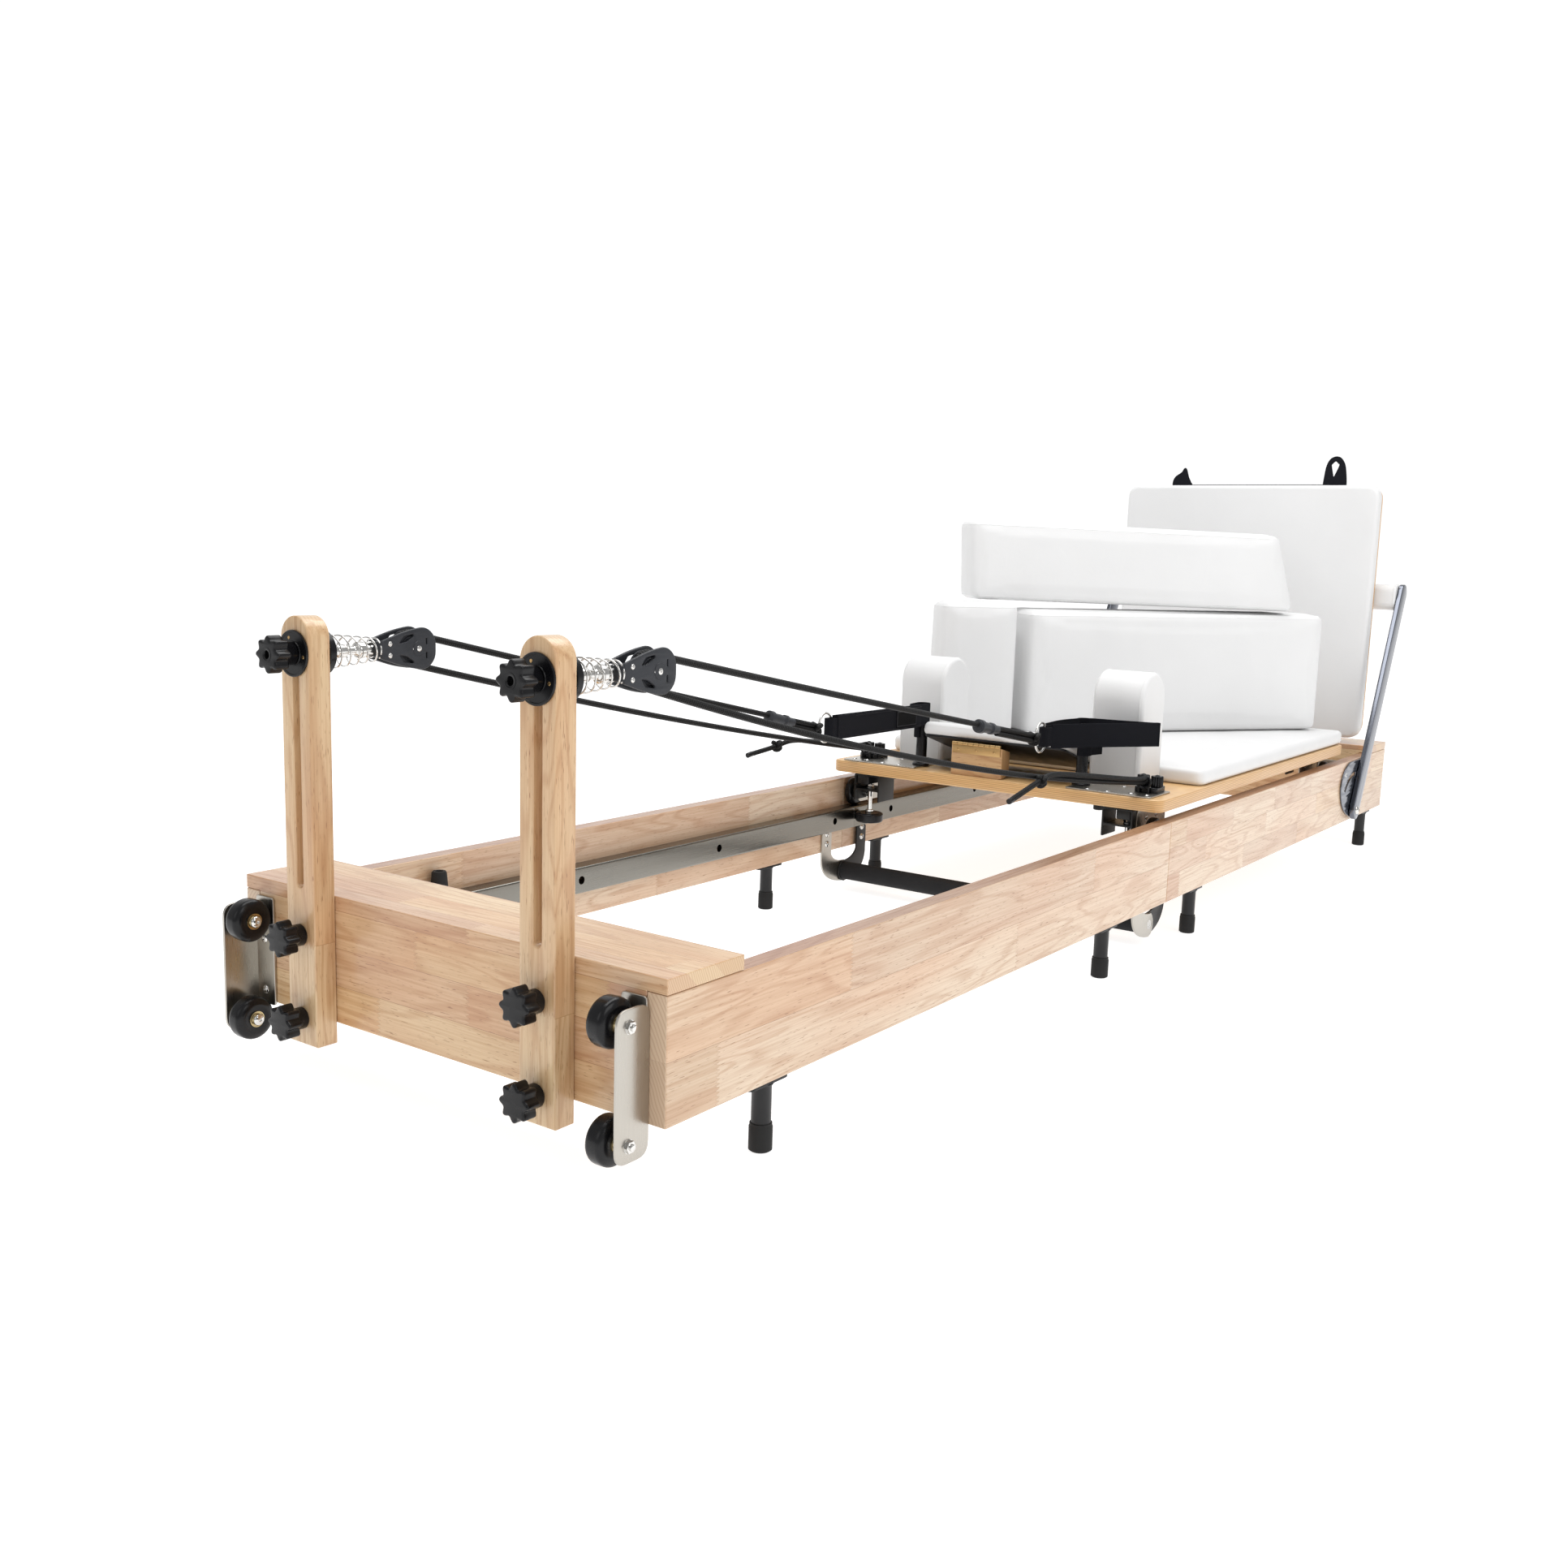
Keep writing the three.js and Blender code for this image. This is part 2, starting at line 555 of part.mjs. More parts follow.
// A hanger under one corner of the deck: an open channel with the guide wheel on an upright bolt and the
// running wheel's axle through its outer wall. toward is +1 at the head end and -1 at the foot end.
function hanger(side, wheelX, toward) {
  const { near, far, low, depth, wall, shelf } = HANGER;
  const front = wheelX - toward * HANGER.inset;
  const span = toward > 0 ? [front, front + depth] : [front - depth, front];
  const top = DECK_BOTTOM - GAP;
  const long = toward > 0 ? [front, front + HANGER.plate] : [front - HANGER.plate, front];
  const guideX = (span[0] + span[1]) / 2;
  const guideY = side * GUIDE.y;
  return [
    block(span, sided(side, near, near + wall), [low, top]),
    block(long, sided(side, far - wall, far), [low - 6, top]),
    block(span, sided(side, near, far), [shelf, shelf + wall]),
    block(span, sided(side, near, far), [top - wall, top]),
    rod(GUIDE.bolt, "z", [GUIDE.low + 8, shelf + 12], 6).translate(guideX, guideY, 0),
    rod(GUIDE.radius, "z", [GUIDE.low, GUIDE.high], 14).translate(guideX, guideY, 0),
    rod(AXLE_RADIUS, "y", sided(side, far - 8, WHEEL_Y + WHEEL_HALF + 1), 10).translate(wheelX, 0, WHEEL_Z),
  ];
}

const CHASSIS = { bars: [1500, 2000], barDepth: 30, barLow: 200, reach: 240, sideBar: 232, springBarX: 1700,
  springBarDepth: 24 };
const SPRING_Y = [-150, -50, 50, 150];
const SPRING_Z = 175;
const SPRING_RADIUS = 12;
const HOOK_BAR = { x: 2300, half: 6, reach: 268 };

function chassis() {
  const top = DECK_BOTTOM - GAP;
  const parts = SIDES.flatMap(([, side]) => [
    block([WHEEL_X[0] - HANGER.inset, WHEEL_X[1] + HANGER.inset],
      sided(side, CHASSIS.sideBar, HANGER.far - HANGER.wall - 0.5), [CHASSIS.barLow, top]),
    ...hanger(side, WHEEL_X[0], 1),
    ...hanger(side, WHEEL_X[1], -1),
  ]);
  const crossBar = (x, depth, low) =>
    block([x - depth / 2, x + depth / 2], [-CHASSIS.reach, CHASSIS.reach], [low, top]);
  parts.push(...CHASSIS.bars.map((x) => crossBar(x, CHASSIS.barDepth, CHASSIS.barLow)));
  parts.push(crossBar(CHASSIS.springBarX, CHASSIS.springBarDepth, CHASSIS.barLow - 6));
  for (const y of SPRING_Y) {
    const peg = rod(4, "z", [SPRING_Z + SPRING_RADIUS + GAP, CHASSIS.barLow], 6);
    parts.push(peg.translate(CHASSIS.springBarX, y, 0));
  }
  return join(...parts);
}

function carriageWheel(side, x) {
  const span = sided(side, WHEEL_Y - WHEEL_HALF, WHEEL_Y + WHEEL_HALF);
  return turned(wheelProfile(6.3, WHEEL_RADIUS, 2, span), "y", 16).translate(x, 0, WHEEL_Z);
}

// The resistance springs, from the carriage's spring bar to the hook bar at the foot end.
function springSet() {
  const from = CHASSIS.springBarX - 8;
  const { x, half, reach } = HOOK_BAR;
  const springs = SPRING_Y.map((y) => rod(SPRING_RADIUS, "x", [from, x], 10).translate(0, y, SPRING_Z));
  const height = [SPRING_Z - SPRING_RADIUS, SPRING_Z + SPRING_RADIUS];
  return join(block([x - half, x + half], [-reach, reach], height), ...springs);
}

function headrestPad() {
  const { hingeX, hingeZ, length, thick, half, tilt } = HEADREST;
  const slab = new THREE.Shape();
  slab.moveTo(0, 0);
  slab.lineTo(0, -length);
  slab.quadraticCurveTo(thick / 2, -length - 8, thick, -length);
  slab.lineTo(thick, -4);
  slab.quadraticCurveTo(thick / 2, 4, 0, 0);
  const pad = pull(slab, "y", [-half, half], 3);
  return pad.rotateY(THREE.MathUtils.degToRad(tilt)).translate(hingeX, 0, hingeZ);
}

// The block that holds the headrest up: hinged at its top front edge, its foot rounded about that hinge.
function headrestProp() {
  const { hingeX, hingeZ, width, y, depth, radius } = PROP;
  const shape = new THREE.Shape();
  const turnOut = Math.asin(depth / radius);
  shape.moveTo(-3, 0);
  shape.lineTo(-10, depth);
  shape.lineTo(-radius * Math.cos(turnOut), depth);
  const steps = 4;
  for (let i = steps - 1; i >= 0; i -= 1) {
    const angle = turnOut * (i / steps);
    shape.lineTo(-radius * Math.cos(angle), radius * Math.sin(angle));
  }
  return pull(shape, "y", [y - width / 2, y + width / 2]).translate(hingeX, 0, hingeZ);
}

// The hand strap's loop, seen from above as (x, distance from the centre line): from the ring out to a
// folded tip, and back round the peg.
const STRAP_TIP = { left: { x: 1198, y: 142 }, right: { x: 1271, y: 264 } };

function strapLoop(word, side) {
  const start = RING[word];
  const tip = STRAP_TIP[word];
  const wrap = PEG.radius + STRAP.thick - 0.5;
  const outward = Math.sign(tip.y - PEG.y);
  const outline = [
    [start.x - 3, start.y + outward * 5],
    [tip.x, tip.y + outward * 4],
    [tip.x + 3, tip.y - outward * 4],
    [PEG.x + wrap, PEG.y + outward * 3],
    [PEG.x + wrap - 4, PEG.y - outward * (wrap - 2)],
    [PEG.x - 4, PEG.y - outward * wrap],
    [start.x - 3, start.y - outward * 8],
  ];
  const hollow = [
    [start.x + 6, start.y + outward],
    [tip.x - 4, tip.y - outward],
    [PEG.x + PEG.radius - 1, PEG.y + outward * 2],
    [PEG.x + PEG.radius - 4, PEG.y - outward * (PEG.radius - 3)],
    [PEG.x - 4, PEG.y - outward * (PEG.radius - 0.5)],
    [start.x + 6, start.y - outward * 4],
  ];
  const loop = [outline, hollow].map((points) => pull(polygon(points.map(([x, y]) => [x, side * y])), "z",
    [STRAP.low, STRAP.high]));
  return cut(...loop);
}

const ROPE_PLATE = { x: [1192, 1276], y: [142, 288], thick: 2.5 };
const CLEAT_BASE = { halfX: 22, halfY: 19, corner: 10, height: 9 };
const CAM = { offset: 11.5, radius: 9, height: 25 };

// The fittings on one front corner of the deck: a plate with the strap's peg and the rope's cam cleat.
function ropePlate(word, side) {
  const top = DECK_TOP + GAP + ROPE_PLATE.thick;
  const plate = block(ROPE_PLATE.x, sided(side, ...ROPE_PLATE.y), [DECK_TOP + GAP, top]);
  const peg = rod(PEG.radius, "z", [top - 1, PEG.top + 8]);
  const { halfX, halfY, corner, height } = CLEAT_BASE;
  const base = pull(roundedRect(CLEAT.x - halfX, CLEAT.x + halfX, -halfY, halfY, corner), "z",
    [top - 1, top + height], 4);
  const cams = [-CAM.offset, CAM.offset].map((y) =>
    rod(CAM.radius, "z", [top + height - 1, top + CAM.height], 10).translate(CLEAT.x, side * CLEAT.y + y, 0));
  return join(plate, peg.translate(PEG.x, side * PEG.y, 0), base.translate(0, side * CLEAT.y, 0), ...cams,
    strapLoop(word, side));
}

function carriage() {
  add("carriage_board", carriageBoard(), PLY);
  add("carriage_pad", carriagePad(), WHITE_LEATHER);
  add("carriage_chassis", chassis(), BLACK_STEEL);
  add("spring_set", springSet(), STEEL);
  add("headrest", headrestPad(), WHITE_LEATHER);
  add("headrest_prop", headrestProp(), WOOD);
  for (const [word, side] of SIDES) {
    add(`shoulder_rest_${word}`, shoulderRest(side), WHITE_LEATHER);
    add(`rope_plate_${word}`, ropePlate(word, side), WEBBING);
    WHEEL_X.forEach((x, row) => add(`carriage_wheel_${row + 1}_${word}`, carriageWheel(side, x), RUBBER));
  }
}

// ---------------------------------------------------------------- footbar and jump board
const BAR_PLATE_THICK = 3.2;

// The D-shaped plate that the footbar turns on, as (z, x) about the pivot, with the pivot's stud.
function footbarPlate(side) {
  const shape = new THREE.Shape();
  const { x, z } = BAR_PIVOT;
  shape.moveTo(z - 14, x + 14);
  shape.lineTo(z - 14, x - 10);
  shape.quadraticCurveTo(z + 4, x - 84, z + 56, x - 90);
  shape.quadraticCurveTo(z + 96, x - 84, z + 104, x - 30);
  shape.lineTo(z + 104, x + 78);
  shape.lineTo(z + 60, x + 78);
  shape.quadraticCurveTo(z + 30, x + 70, z - 14, x + 14);
  const plate = pull(shape, "y", sided(side, HALF_WIDTH + GAP, HALF_WIDTH + GAP + BAR_PLATE_THICK), 6);
  const stud = rod(5, "y", sided(side, HALF_WIDTH + 1, BAR_INNER + BAR_THICK + 5), 10).translate(x, 0, z);
  return join(plate, stud);
}

function footbar() {
  const dx = BAR_TOP.x - BAR_PIVOT.x;
  const dz = BAR_TOP.z - BAR_PIVOT.z;
  const length = Math.hypot(dx, dz);
  const half = BAR_WIDTH / 2;
  const arm = new THREE.Shape();
  arm.moveTo(0, half);
  arm.absarc(0, 0, half, Math.PI / 2, Math.PI * 1.5);
  arm.lineTo(length, -half);
  arm.absarc(length, 0, half, -Math.PI / 2, Math.PI / 2);
  arm.holes.push(new THREE.Path().absarc(0, 0, 5.3, 0, Math.PI * 2));
  const arms = SIDES.map(([, side]) => {
    const flat = pull(arm, "y", sided(side, BAR_INNER, BAR_INNER + BAR_THICK), 5);
    return flat.rotateY(Math.atan2(dx, dz)).translate(BAR_PIVOT.x, 0, BAR_PIVOT.z);
  });
  const { x0, x1, z0, z1, corner } = BAR_PAD;
  const crossbar = pull(roundedRect(z0, z1, x0, x1, corner), "y", [-BAR_INNER - 1, BAR_INNER + 1], 3);
  return join(...arms, crossbar);
}

// The webbing loops on top of the board: how far each is from the centre line, and how high it stands.
const LOOP = { left: { y: 166, height: 40 }, right: { y: 180, height: 63 }, half: 26, thick: 4, corner: 16 };
// Its opening is a slot with round ends, and its root is hidden behind the pad.
const LOOP_OPENING = { half: 9, above: 8, below: 12, root: 12 };

function jumpBoard() {
  const { x0, padDepth, boardDepth, half, bottom, top, corner } = JUMP;
  const pad = pull(roundedRect(-half, half, bottom, top, corner), "x", [x0, x0 + padDepth], 4);
  const backing = pull(roundedRect(-half + 3, half - 3, bottom + 3, top - 3, corner), "x",
    [x0 + padDepth - 1, x0 + padDepth + boardDepth], 4);
  const parts = [pad, backing];
  const loopX = x0 + padDepth - 2;
  for (const [word, side] of SIDES) {
    parts.push(rod(DOWEL.radius, "z", [DOWEL.bottom, bottom + 10], 10).translate(DOWEL.x, side * DOWEL.y, 0));
    const { y, height } = LOOP[word];
    const loop = roundedRect(-LOOP.half, LOOP.half, top - LOOP_OPENING.root, top + height, LOOP.corner);
    const slot = [top + LOOP_OPENING.above, top + height - LOOP_OPENING.below];
    loop.holes.push(roundedRect(-LOOP_OPENING.half, LOOP_OPENING.half, ...slot, LOOP_OPENING.half - 0.1));
    parts.push(pull(loop, "x", [loopX, loopX + LOOP.thick], 3).translate(0, side * y, 0));
  }
  return join(...parts);
}

// ---------------------------------------------------------------- loose cushions on the pad
// Each is placed by its near left corner and the way its long edge points, in degrees from +X.
const CUSHION_FLOOR = PAD_TOP + GAP;
const LONG_BLOCK = { x: 1576, y: 122, heading: -35.4, length: 672, depth: 160, height: 236 };
const TALL_BLOCK = { x: 1432, y: 235, heading: -42, length: 154, depth: 112, height: 250 };
const TOP_BLOCK = { x: 1549, y: 238, heading: -42, length: 690, depth: 130, height: 152, slope: 1 };
const TOP_BLOCK_LOW = CUSHION_FLOOR + TALL_BLOCK.height + 3;
const BLOCK_CORNER = 14;
const BLOCK_LINK = { x: [1555, 1608], y: [146, 160], rise: [20, 60] }; // between the two lower blocks

function cushion({ x, y, heading, length, depth, height }, low) {
  const slab = pull(roundedRect(0, length, 0, depth, BLOCK_CORNER), "z", [0, height], 3);
  return slab.rotateZ(THREE.MathUtils.degToRad(heading)).translate(x, y, low);
}

function cushionPair() {
  const link = block(BLOCK_LINK.x, BLOCK_LINK.y, BLOCK_LINK.rise.map((rise) => CUSHION_FLOOR + rise));
  return join(cushion(LONG_BLOCK, CUSHION_FLOOR), cushion(TALL_BLOCK, CUSHION_FLOOR), link);
}

function topCushion() {
  const { x, y, heading, length, depth, height, slope } = TOP_BLOCK;
  const slab = pull(roundedRect(0, length, 0, depth, BLOCK_CORNER), "z", [0, height], 3);
  slab.rotateY(THREE.MathUtils.degToRad(slope)).rotateZ(THREE.MathUtils.degToRad(heading));
  return slab.translate(x, y, TOP_BLOCK_LOW);
}

// ---------------------------------------------------------------- assembly
rails("head", 0, FOLD_X - GAP / 2);
rails("foot", FOLD_X + GAP / 2, FRAME_LENGTH);
add("head_end_board", headEndBoard(), WOOD);
add("foot_end_board", footEndBoard(), WOOD);
tracks();
legs();
foldYokes();
headPosts();
castors();
ropeGear();
carriage();
for (const [word, side] of SIDES) {
  add(`footbar_plate_${word}`, footbarPlate(side), STEEL);
}
add("footbar", footbar(), STEEL);
add("jump_board", jumpBoard(), WHITE_LEATHER);
add("cushion_pair", cushionPair(), WHITE_LEATHER);
add("cushion_top", topCushion(), WHITE_LEATHER);

const extent = new THREE.Box3().setFromObject(model);
const centre = extent.getCenter(new THREE.Vector3());
model.position.set(-centre.x, -centre.y, -extent.min.z);

export default model;
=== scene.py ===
"""Looks of the folding wooden pilates reformer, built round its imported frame. Metres, +Z up.

Pieces are laid out in millimetres from the head beam's face, the centre line and the floor, and piece()
turns them into the frame's metres.
"""
import math

import bmesh
import bpy
from mathutils import Matrix, Vector, noise
from mathutils.bvhtree import BVHTree


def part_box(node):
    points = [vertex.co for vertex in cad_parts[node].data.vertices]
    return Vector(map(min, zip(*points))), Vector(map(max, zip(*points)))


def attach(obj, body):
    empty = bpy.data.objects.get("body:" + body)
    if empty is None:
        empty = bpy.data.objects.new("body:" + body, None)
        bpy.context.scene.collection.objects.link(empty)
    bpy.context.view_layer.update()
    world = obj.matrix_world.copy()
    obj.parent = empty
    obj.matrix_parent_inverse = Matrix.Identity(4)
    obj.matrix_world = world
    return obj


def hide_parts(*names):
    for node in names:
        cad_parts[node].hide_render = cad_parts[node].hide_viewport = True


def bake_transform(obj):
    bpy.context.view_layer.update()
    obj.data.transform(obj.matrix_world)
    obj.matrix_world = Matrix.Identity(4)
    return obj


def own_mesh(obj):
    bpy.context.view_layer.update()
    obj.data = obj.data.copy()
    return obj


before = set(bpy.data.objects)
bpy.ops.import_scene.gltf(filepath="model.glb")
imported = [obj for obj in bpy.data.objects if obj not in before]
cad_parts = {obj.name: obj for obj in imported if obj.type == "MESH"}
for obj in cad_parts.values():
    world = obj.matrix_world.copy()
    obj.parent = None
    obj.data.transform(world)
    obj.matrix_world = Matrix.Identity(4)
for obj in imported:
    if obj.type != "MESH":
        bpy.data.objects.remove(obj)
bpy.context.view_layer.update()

# ---------------------------------------------------------------- places
MM = 0.001
HEAD_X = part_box("head_rail_left")[0].x
TO_FRAME = Matrix.Translation((HEAD_X, 0, 0)) @ Matrix.Scale(MM, 4)
SIDES = (("left", 1), ("right", -1))


def span(node):
    """A CAD node's lowest and highest corners, in the layout's millimetres."""
    low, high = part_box(node)
    shift = Vector((HEAD_X, 0, 0))
    return (low - shift) / MM, (high - shift) / MM


def sided(side, near, far):
    """Limits across the machine on one side of the centre line."""
    return (near, far) if side > 0 else (-far, -near)


# ---------------------------------------------------------------- shader writing
BLACK = (0, 0, 0, 1)
WHITE = (1, 1, 1, 1)


class Shader:
    """A node material being written."""

    def __init__(self, name):
        self.material = bpy.data.materials.new(name)
        self.material.use_nodes = True
        self.tree = self.material.node_tree
        self.surface = self.tree.nodes["Principled BSDF"]

    def node(self, kind, inputs, **settings):
        made = self.tree.nodes.new("ShaderNode" + kind)
        for key, value in settings.items():
            setattr(made, key, value)
        for key, value in inputs.items():
            self.feed(made.inputs[key], value)
        return made

    def feed(self, socket, value):
        if isinstance(value, bpy.types.NodeSocket):
            self.tree.links.new(value, socket)
        else:
            socket.default_value = value

    def math(self, operation, first, second=0.0, third=0.0):
        return self.node("Math", {0: first, 1: second, 2: third}, operation=operation).outputs[0]

    def place(self, kind="Object"):
        return self.node("TexCoord", {}).outputs[kind]

    def axes(self, vector):
        outputs = self.node("SeparateXYZ", {0: vector}).outputs
        return {"x": outputs[0], "y": outputs[1], "z": outputs[2]}

    def vector(self, x, y, z):
        return self.node("CombineXYZ", {0: x, 1: y, 2: z}).outputs[0]

    def stretch(self, vector, scale):
        return self.node("VectorMath", {0: vector, 1: scale}, operation="MULTIPLY").outputs[0]

    def shift(self, vector, offset):
        return self.node("VectorMath", {0: vector, 1: offset}, operation="ADD").outputs[0]

    def noise(self, vector, scale, detail=2.0, roughness=0.5, distortion=0.0):
        inputs = {"Vector": vector, "Scale": scale, "Detail": detail, "Roughness": roughness,
                  "Distortion": distortion}
        return self.node("TexNoise", inputs).outputs["Fac"]

    def ramp(self, value, *stops):
        """Each stop is (place, colour or grey)."""
        made = self.node("ValToRGB", {0: value})
        elements = made.color_ramp.elements
        while len(elements) < len(stops):
            elements.new(0.5)
        for element, (where, colour) in zip(elements, stops):
            element.position = where
            element.color = colour if hasattr(colour, "__len__") else (colour, colour, colour, 1)
        return made.outputs[0]

    def mix(self, factor, first, second, blend="MIX"):
        made = self.node("Mix", {0: factor}, data_type="RGBA", blend_type=blend)
        self.feed(made.inputs[6], first)
        self.feed(made.inputs[7], second)
        return made.outputs[2]

    def bump(self, height, distance, normal=None):
        inputs = {"Height": height, "Distance": distance, "Strength": 1.0}
        if normal is not None:
            inputs["Normal"] = normal
        return self.node("Bump", inputs).outputs[0]

    def finish(self, **sockets):
        for key, value in sockets.items():
            self.feed(self.surface.inputs[key.replace("_", " ")], value)
        return self.material


def rgb(red, green, blue):
    return (red, green, blue, 1)


# ---------------------------------------------------------------- materials
FINGER_PITCH = 0.0045
FINGER_LENGTH = 0.006
ACROSS = {"x": ("y", "z"), "y": ("x", "z"), "z": ("x", "y")}
ROW_SLANT = {"x": 0.0, "y": 1.0, "z": 0.0}
PLY_THICK = 0.0015
BRAID_PITCH = 0.0062
BRAID_STRANDS = 6.0
TAPE_RIBS = 3600.0
TAPE_THREADS = 4700.0


def wood(name, grain, row, block, tones, start=0.0, seed=0.0):
    """Finger-jointed rubberwood: rows of blocks, each with a tone and figure of its own."""
    s = Shader(name)
    place = s.axes(s.place())
    first, second = ACROSS[grain]
    along, depth = place[grain], place[first]
    over = s.math("MULTIPLY_ADD", depth, ROW_SLANT[grain], place[second])
    finger = s.math("PINGPONG", over, FINGER_PITCH / 2)
    jointed = s.math("MULTIPLY_ADD", finger, 2 * FINGER_LENGTH / FINGER_PITCH, along)
    cells = s.vector(s.math("ADD", jointed, 9.13 + seed), s.math("ADD", over, 40.0 * row - start), 0.0)
    bricks = s.node("TexBrick", {
        "Vector": cells, "Color1": BLACK, "Color2": WHITE, "Mortar": rgb(0.5, 0.5, 0.5), "Scale": 1.0,
        "Mortar Size": 0.0003, "Mortar Smooth": 0.6, "Bias": 0.0, "Brick Width": block, "Row Height": row,
    }, offset=0.37, offset_frequency=2, squash=0.72, squash_frequency=3)
    chance = bricks.outputs["Color"]
    tone = s.ramp(chance, *[(i / (len(tones) - 1), tone) for i, tone in enumerate(tones)])
    own = s.node("TexWhiteNoise", {"W": s.math("MULTIPLY_ADD", chance, 91.0, seed)}, noise_dimensions="1D")
    own = own.outputs["Color"]
    flow = s.shift(s.vector(along, over, depth), own)
    colour, fibres, pores = figured(s, flow, tone)
    colour = s.mix(s.math("MULTIPLY", bricks.outputs["Fac"], 0.65), colour, rgb(0.48, 0.30, 0.18), "MULTIPLY")
    colour = end_grain(s, colour, tone, grain, over, depth, own)
    height = s.math("SUBTRACT", s.math("MULTIPLY", fibres, 0.3), pores)
    gloss = s.ramp(fibres, (0.3, 0.30), (0.8, 0.46))
    return s.finish(Base_Color=colour, Roughness=gloss, Normal=s.bump(height, 0.00008),
                    Coat_Weight=0.45, Coat_Roughness=0.18)


def figured(s, flow, tone):
    """A block's tone with its rings, fibres, clouding and pores, and the fibres and pores by themselves."""
    figure = s.noise(s.stretch(flow, (2.2, 16.0, 16.0)), 1.0, 2.0, 0.45, 0.6)
    rings = s.math("SINE", s.math("MULTIPLY", figure, 62.0))
    fibres = s.noise(s.stretch(flow, (9.0, 420.0, 420.0)), 1.0, 3.0, 0.6)
    pores = s.ramp(s.noise(s.stretch(flow, (75.0, 950.0, 950.0)), 1.0, 1.0), (0.66, 0.0), (0.74, 1.0))
    cloud = s.noise(s.stretch(flow, (3.0, 9.0, 9.0)), 1.0, 2.0)
    colour = s.mix(s.ramp(rings, (0.0, 0.0), (1.0, 0.36)), tone, rgb(0.66, 0.44, 0.28), "MULTIPLY")
    colour = s.mix(s.ramp(fibres, (0.40, 0.0), (0.72, 0.42)), colour, rgb(0.62, 0.42, 0.26), "MULTIPLY")
    colour = s.mix(s.ramp(cloud, (0.38, 0.0), (0.66, 0.75)), colour, rgb(0.93, 0.76, 0.66), "MULTIPLY")
    colour = s.mix(s.math("MULTIPLY", pores, 0.75), colour, rgb(0.46, 0.28, 0.16), "MULTIPLY")
    return colour, fibres, pores


def end_grain(s, colour, tone, grain, over, depth, own):
    """Growth rings on the faces across the grain."""
    facing = s.math("ABSOLUTE", s.axes(s.place("Normal"))[grain])
    mask = s.ramp(facing, (0.75, 0.0), (0.9, 1.0))
    offset = s.axes(own)
    ring_place = s.vector(s.math("MULTIPLY_ADD", offset["x"], 0.05, over),
                          s.math("MULTIPLY_ADD", offset["y"], 0.05, depth), 0.0)
    wobble = s.noise(ring_place, 22.0, 2.0)
    reach = s.node("VectorMath", {0: ring_place}, operation="LENGTH").outputs["Value"]
    wave = s.math("SINE", s.math("MULTIPLY", s.math("MULTIPLY_ADD", wobble, 0.012, reach), 1500.0))
    rings = s.ramp(wave, (0.0, 0.12), (1.0, 0.42))
    ends = s.mix(rings, tone, rgb(0.55, 0.33, 0.24), "MULTIPLY")
    return s.mix(mask, colour, ends)


def plywood():
    """Veneered board: a warm satin face, and thin plies along its edges."""
    s = Shader("plywood")
    place = s.axes(s.place())
    flow = s.vector(s.math("MULTIPLY", place["x"], 5.0), s.math("MULTIPLY", place["y"], 60.0), place["z"])
    figure = s.noise(flow, 1.0, 3.0, 0.55, 0.4)
    face = s.ramp(figure, (0.3, rgb(0.66, 0.40, 0.17)), (0.7, rgb(0.80, 0.53, 0.26)))
    plies = s.math("MULTIPLY", s.math("PINGPONG", place["z"], PLY_THICK), 1 / PLY_THICK)
    edge = s.ramp(plies, (0.25, rgb(0.58, 0.32, 0.12)), (0.75, rgb(0.80, 0.51, 0.23)))
    upright = s.math("ABSOLUTE", s.axes(s.place("Normal"))["z"])
    colour = s.mix(s.ramp(upright, (0.4, 0.0), (0.6, 1.0)), edge, face)
    streaks = s.noise(s.stretch(s.place(), (30.0, 30.0, 900.0)), 1.0, 2.0)
    colour = s.mix(s.ramp(streaks, (0.4, 0.0), (0.8, 0.3)), colour, rgb(0.6, 0.4, 0.25), "MULTIPLY")
    return s.finish(Base_Color=colour, Roughness=s.ramp(figure, (0.3, 0.32), (0.7, 0.44)),
                    Normal=s.bump(streaks, 0.00004), Coat_Weight=0.25, Coat_Roughness=0.2)


def leather():
    """White artificial leather: fine pebbled grain with faint soft creases."""
    s = Shader("white_leather")
    place = s.place()
    grain = s.node("TexVoronoi", {"Vector": place, "Scale": 620.0, "Randomness": 1.0}).outputs["Distance"]
    creases = s.noise(place, 26.0, 4.0, 0.55, 0.6)
    mottling = s.noise(place, 5.0, 3.0)
    colour = s.ramp(mottling, (0.3, rgb(0.77, 0.77, 0.77)), (0.7, rgb(0.81, 0.81, 0.81)))
    normal = s.bump(grain, 0.00005, s.bump(creases, 0.0006))
    gloss = s.ramp(creases, (0.3, 0.40), (0.7, 0.52))
    return s.finish(Base_Color=colour, Roughness=gloss, Normal=normal, Sheen_Weight=0.08)


def metal(name, colour, low, high, brush=(1.0, 1.0, 1.0), depth=0.000002):
    """Bare metal, brushed along the axis with the smallest number in brush."""
    s = Shader(name)
    marks = s.noise(s.stretch(s.place(), brush), 40.0, 3.0, 0.6)
    smudges = s.noise(s.place(), 14.0, 3.0)
    gloss = s.ramp(s.mix(0.35, marks, smudges), (0.3, low), (0.7, high))
    dull = tuple(0.93 * value for value in colour)
    tint = s.ramp(marks, (0.3, rgb(*dull)), (0.7, rgb(*colour)))
    return s.finish(Base_Color=tint, Roughness=gloss, Normal=s.bump(marks, depth), Metallic=1.0)


